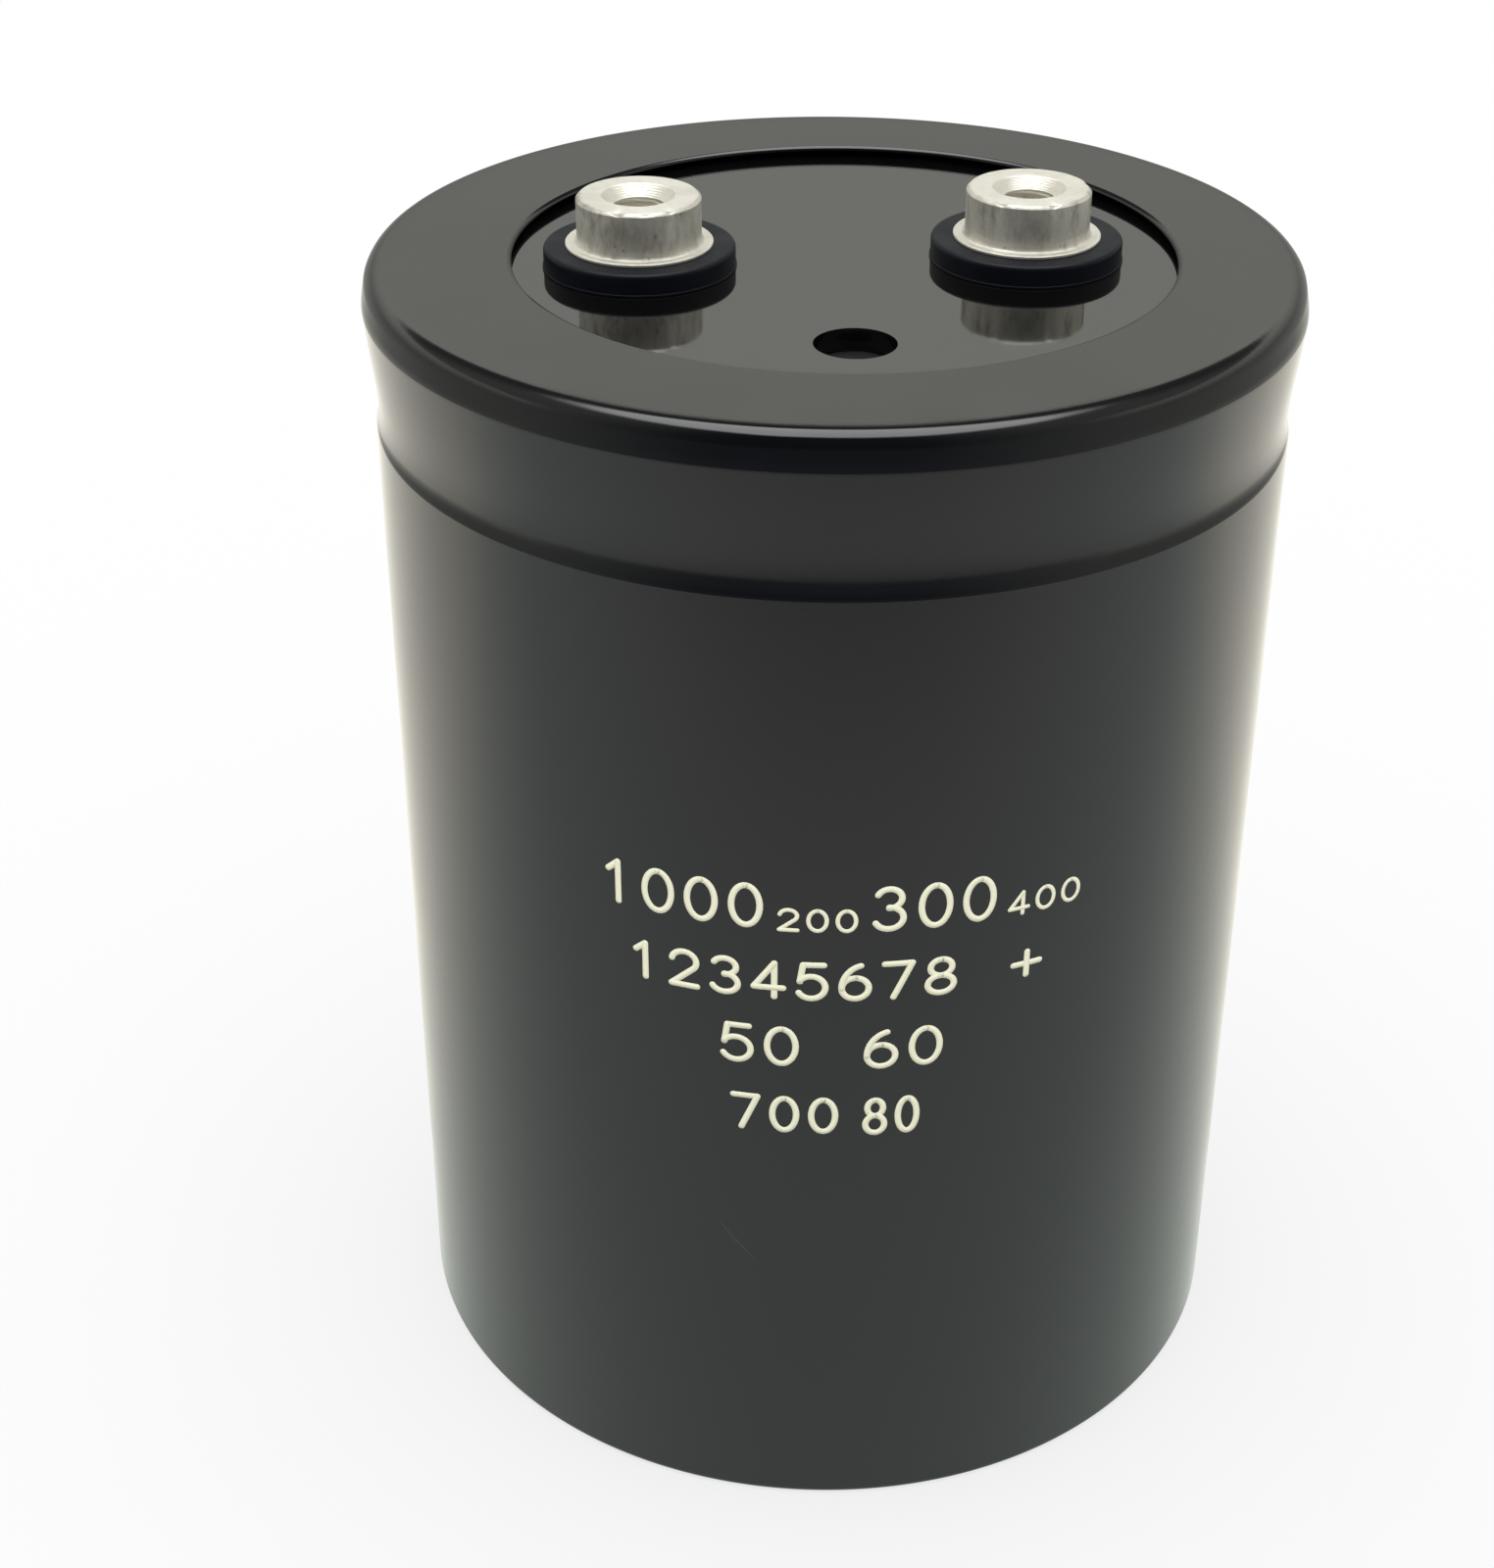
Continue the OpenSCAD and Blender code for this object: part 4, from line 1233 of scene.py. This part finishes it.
def build_world(settings):
    """White surroundings for the camera, a plain level of light, and a studio for reflections.

    In reflections a direction (x, y, z) has the height asin(z) and the angle round Z from the front. The
    room is dark in front and lighter to the sides, and in front and behind it darkens with the height.
    Beside and behind, a pale wall brightens with the height up to its end, and the horizon is pale
    underneath. A round overhead light lies about an axis that leans a little to the back.
    """
    world = bpy.data.worlds.new("studio")
    bpy.context.scene.world = world
    world.use_nodes = True
    tree = world.node_tree
    tree.nodes.clear()
    direction = tree.nodes.new("ShaderNodeTexCoord").outputs["Generated"]
    z = add_node(tree, "ShaderNodeSeparateXYZ", {"Vector": direction}).outputs["Z"]
    height = math_node(tree, "ARCSINE", z)
    level = vector_node(tree, "NORMALIZE", laid_flat(tree, direction))
    turn = settings.front_turn
    middle = (math.sin(turn), -math.cos(turn), 0.0)
    angle_off = math_node(tree, "ARCCOSINE", measure_node(tree, "DOT_PRODUCT", level, middle))

    front_drop = ramp_node(tree, height, *settings.front_fade, 1.0, settings.front_top)
    front = scaled(tree, settings.room, front_drop)
    behind = ramp_node(tree, angle_off, *settings.back_sides)
    back_drop = ramp_node(tree, height, *settings.back_fade, 0.0, 1.0 - settings.back_top)
    kept = math_node(tree, "SUBTRACT", 1.0, math_node(tree, "MULTIPLY", back_drop, behind))
    side = scaled(tree, settings.room_side, kept)
    mirrored = mix_colours(tree, ramp_node(tree, angle_off, *settings.front_sides), front, side)

    past = ramp_node(tree, angle_off, *settings.wall_sides)
    rise = ramp_node(tree, height, *settings.wall_rise, smooth=False)
    fall = ramp_node(tree, height, *settings.wall_end, 1.0, 0.0)
    wall = math_node(tree, "MULTIPLY", math_node(tree, "MULTIPLY", rise, fall), past)
    mirrored = mix_colours(tree, wall, mirrored, settings.wall)
    under = math_node(tree, "MULTIPLY", ramp_node(tree, height, *settings.horizon_fade), past)
    mirrored = mix_colours(tree, under, mirrored, settings.horizon)
    axis = (0.0, math.sin(settings.overhead_lean), math.cos(settings.overhead_lean))
    axis_off = math_node(tree, "ARCCOSINE", measure_node(tree, "DOT_PRODUCT", direction, axis))
    overhead = ramp_node(tree, axis_off, *settings.overhead_edge)
    mirrored = mix_colours(tree, overhead, mirrored, [settings.overhead] * 3)

    camera_ray, reflected = ray_masks(tree)
    lit = mix_colours(tree, reflected, [settings.sky] * 3, mirrored)
    seen = mix_colours(tree, camera_ray, lit, WHITE)
    background = add_node(tree, "ShaderNodeBackground", {"Color": seen, "Strength": 1.0})
    add_node(tree, "ShaderNodeOutputWorld", {"Surface": background.outputs[0]})


def build_lamp(settings):
    """A square softbox overhead. Its power is pi * area * radiance.

    Reflections don't show it, because they have the overhead light of the surroundings.
    """
    lamp = bpy.data.lights.new("softbox", "AREA")
    lamp.shape = "SQUARE"
    lamp.size = settings.box_size
    lamp.energy = math.pi * settings.box_size**2 * settings.box_light
    holder = bpy.data.objects.new("softbox", lamp)
    holder.location = (0.0, 0.0, settings.box_height)
    holder.visible_glossy = False
    bpy.context.scene.collection.objects.link(holder)


def build_camera(settings):
    """The camera at the photograph's viewing angle."""
    data = bpy.data.cameras.new("camera")
    data.sensor_width = settings.sensor
    data.lens = settings.focal
    data.clip_start = 10 * MM
    camera = bpy.data.objects.new("camera", data)
    camera.location = settings.camera_spot
    camera.rotation_euler = (settings.camera_tilt, 0.0, settings.camera_turn)
    bpy.context.scene.collection.objects.link(camera)
    bpy.context.scene.camera = camera


# Operators


class CAPACITOR_OT_sleeve(bpy.types.Operator):
    """Build the shrink sleeve with its laps"""

    bl_idname = "capacitor.sleeve"
    bl_label = "Sleeve"

    def execute(self, context):
        build_sleeve(context.scene.capacitor.sleeve)
        return {"FINISHED"}


class CAPACITOR_OT_print(bpy.types.Operator):
    """Lay the printed figures on the sleeve"""

    bl_idname = "capacitor.print"
    bl_label = "Print"

    def execute(self, context):
        settings = context.scene.capacitor
        build_print(settings.printed, settings.sleeve)
        return {"FINISHED"}


class CAPACITOR_OT_terminals(bpy.types.Operator):
    """Build both threaded terminals and their collars"""

    bl_idname = "capacitor.terminals"
    bl_label = "Terminals"

    def execute(self, context):
        settings = context.scene.capacitor.terminals
        rubber = rubber_material("collar_rubber", settings.rubber, 0.42, 0.5)
        for side in ("positive", "negative"):
            build_terminal(settings, f"terminal_{side}", f"threaded_terminal_{side}")
            build_collar(settings, f"collar_{side}", f"rubber_collar_{side}", rubber)
        return {"FINISHED"}


class CAPACITOR_OT_deck(bpy.types.Operator):
    """Polish the deck and build the vent plug"""

    bl_idname = "capacitor.deck"
    bl_label = "Deck and vent"

    def execute(self, context):
        settings = context.scene.capacitor.deck
        dress(deck_material(settings), ["deck"])
        build_vent_plug(settings)
        return {"FINISHED"}


class CAPACITOR_OT_inside(bpy.types.Operator):
    """Give the parts inside the can their finishes"""

    bl_idname = "capacitor.inside"
    bl_label = "Parts inside"

    def execute(self, context):
        for values, nodes in INNER_METALS:
            dress(drawn_material(*values), nodes)
        for values, nodes in INNER_DULLS:
            dress(dull_material(*values), nodes)
        dress(rubber_material("gasket_rubber", (0.012, 0.012, 0.012), 0.5, 0.65), ["deck_gasket"])
        dress(roll_material(), ["winding"])
        return {"FINISHED"}


class CAPACITOR_OT_stage(bpy.types.Operator):
    """Build the floor, the light, the surroundings and the camera"""

    bl_idname = "capacitor.stage"
    bl_label = "Stage"

    def execute(self, context):
        settings = context.scene.capacitor.stage
        build_floor(settings)
        build_world(settings)
        build_lamp(settings)
        build_camera(settings)
        context.scene.view_settings.view_transform = "Standard"
        return {"FINISHED"}


OPERATORS = (
    CAPACITOR_OT_stage,
    CAPACITOR_OT_sleeve,
    CAPACITOR_OT_print,
    CAPACITOR_OT_terminals,
    CAPACITOR_OT_deck,
    CAPACITOR_OT_inside,
)


class CAPACITOR_PT_panel(bpy.types.Panel):
    """Sidebar panel that lists the steps"""

    bl_label = "Capacitor"
    bl_idname = "CAPACITOR_PT_panel"
    bl_space_type = "VIEW_3D"
    bl_region_type = "UI"
    bl_category = "Capacitor"

    def draw(self, context):
        for operator in OPERATORS:
            self.layout.operator(operator.bl_idname)


CLASSES = (
    SleeveSettings,
    PrintSettings,
    TerminalSettings,
    DeckSettings,
    StageSettings,
    CapacitorSettings,
    *OPERATORS,
    CAPACITOR_PT_panel,
)


def register():
    for cls in CLASSES:
        bpy.utils.register_class(cls)
    bpy.types.Scene.capacitor = bpy.props.PointerProperty(type=CapacitorSettings)


def unregister():
    del bpy.types.Scene.capacitor
    for cls in reversed(CLASSES):
        bpy.utils.unregister_class(cls)


def main():
    """Builds everything."""
    register()
    bpy.ops.capacitor.stage()
    bpy.ops.capacitor.sleeve()
    bpy.ops.capacitor.print()
    bpy.ops.capacitor.terminals()
    bpy.ops.capacitor.deck()
    bpy.ops.capacitor.inside()


if __name__ == "__main__":
    main()
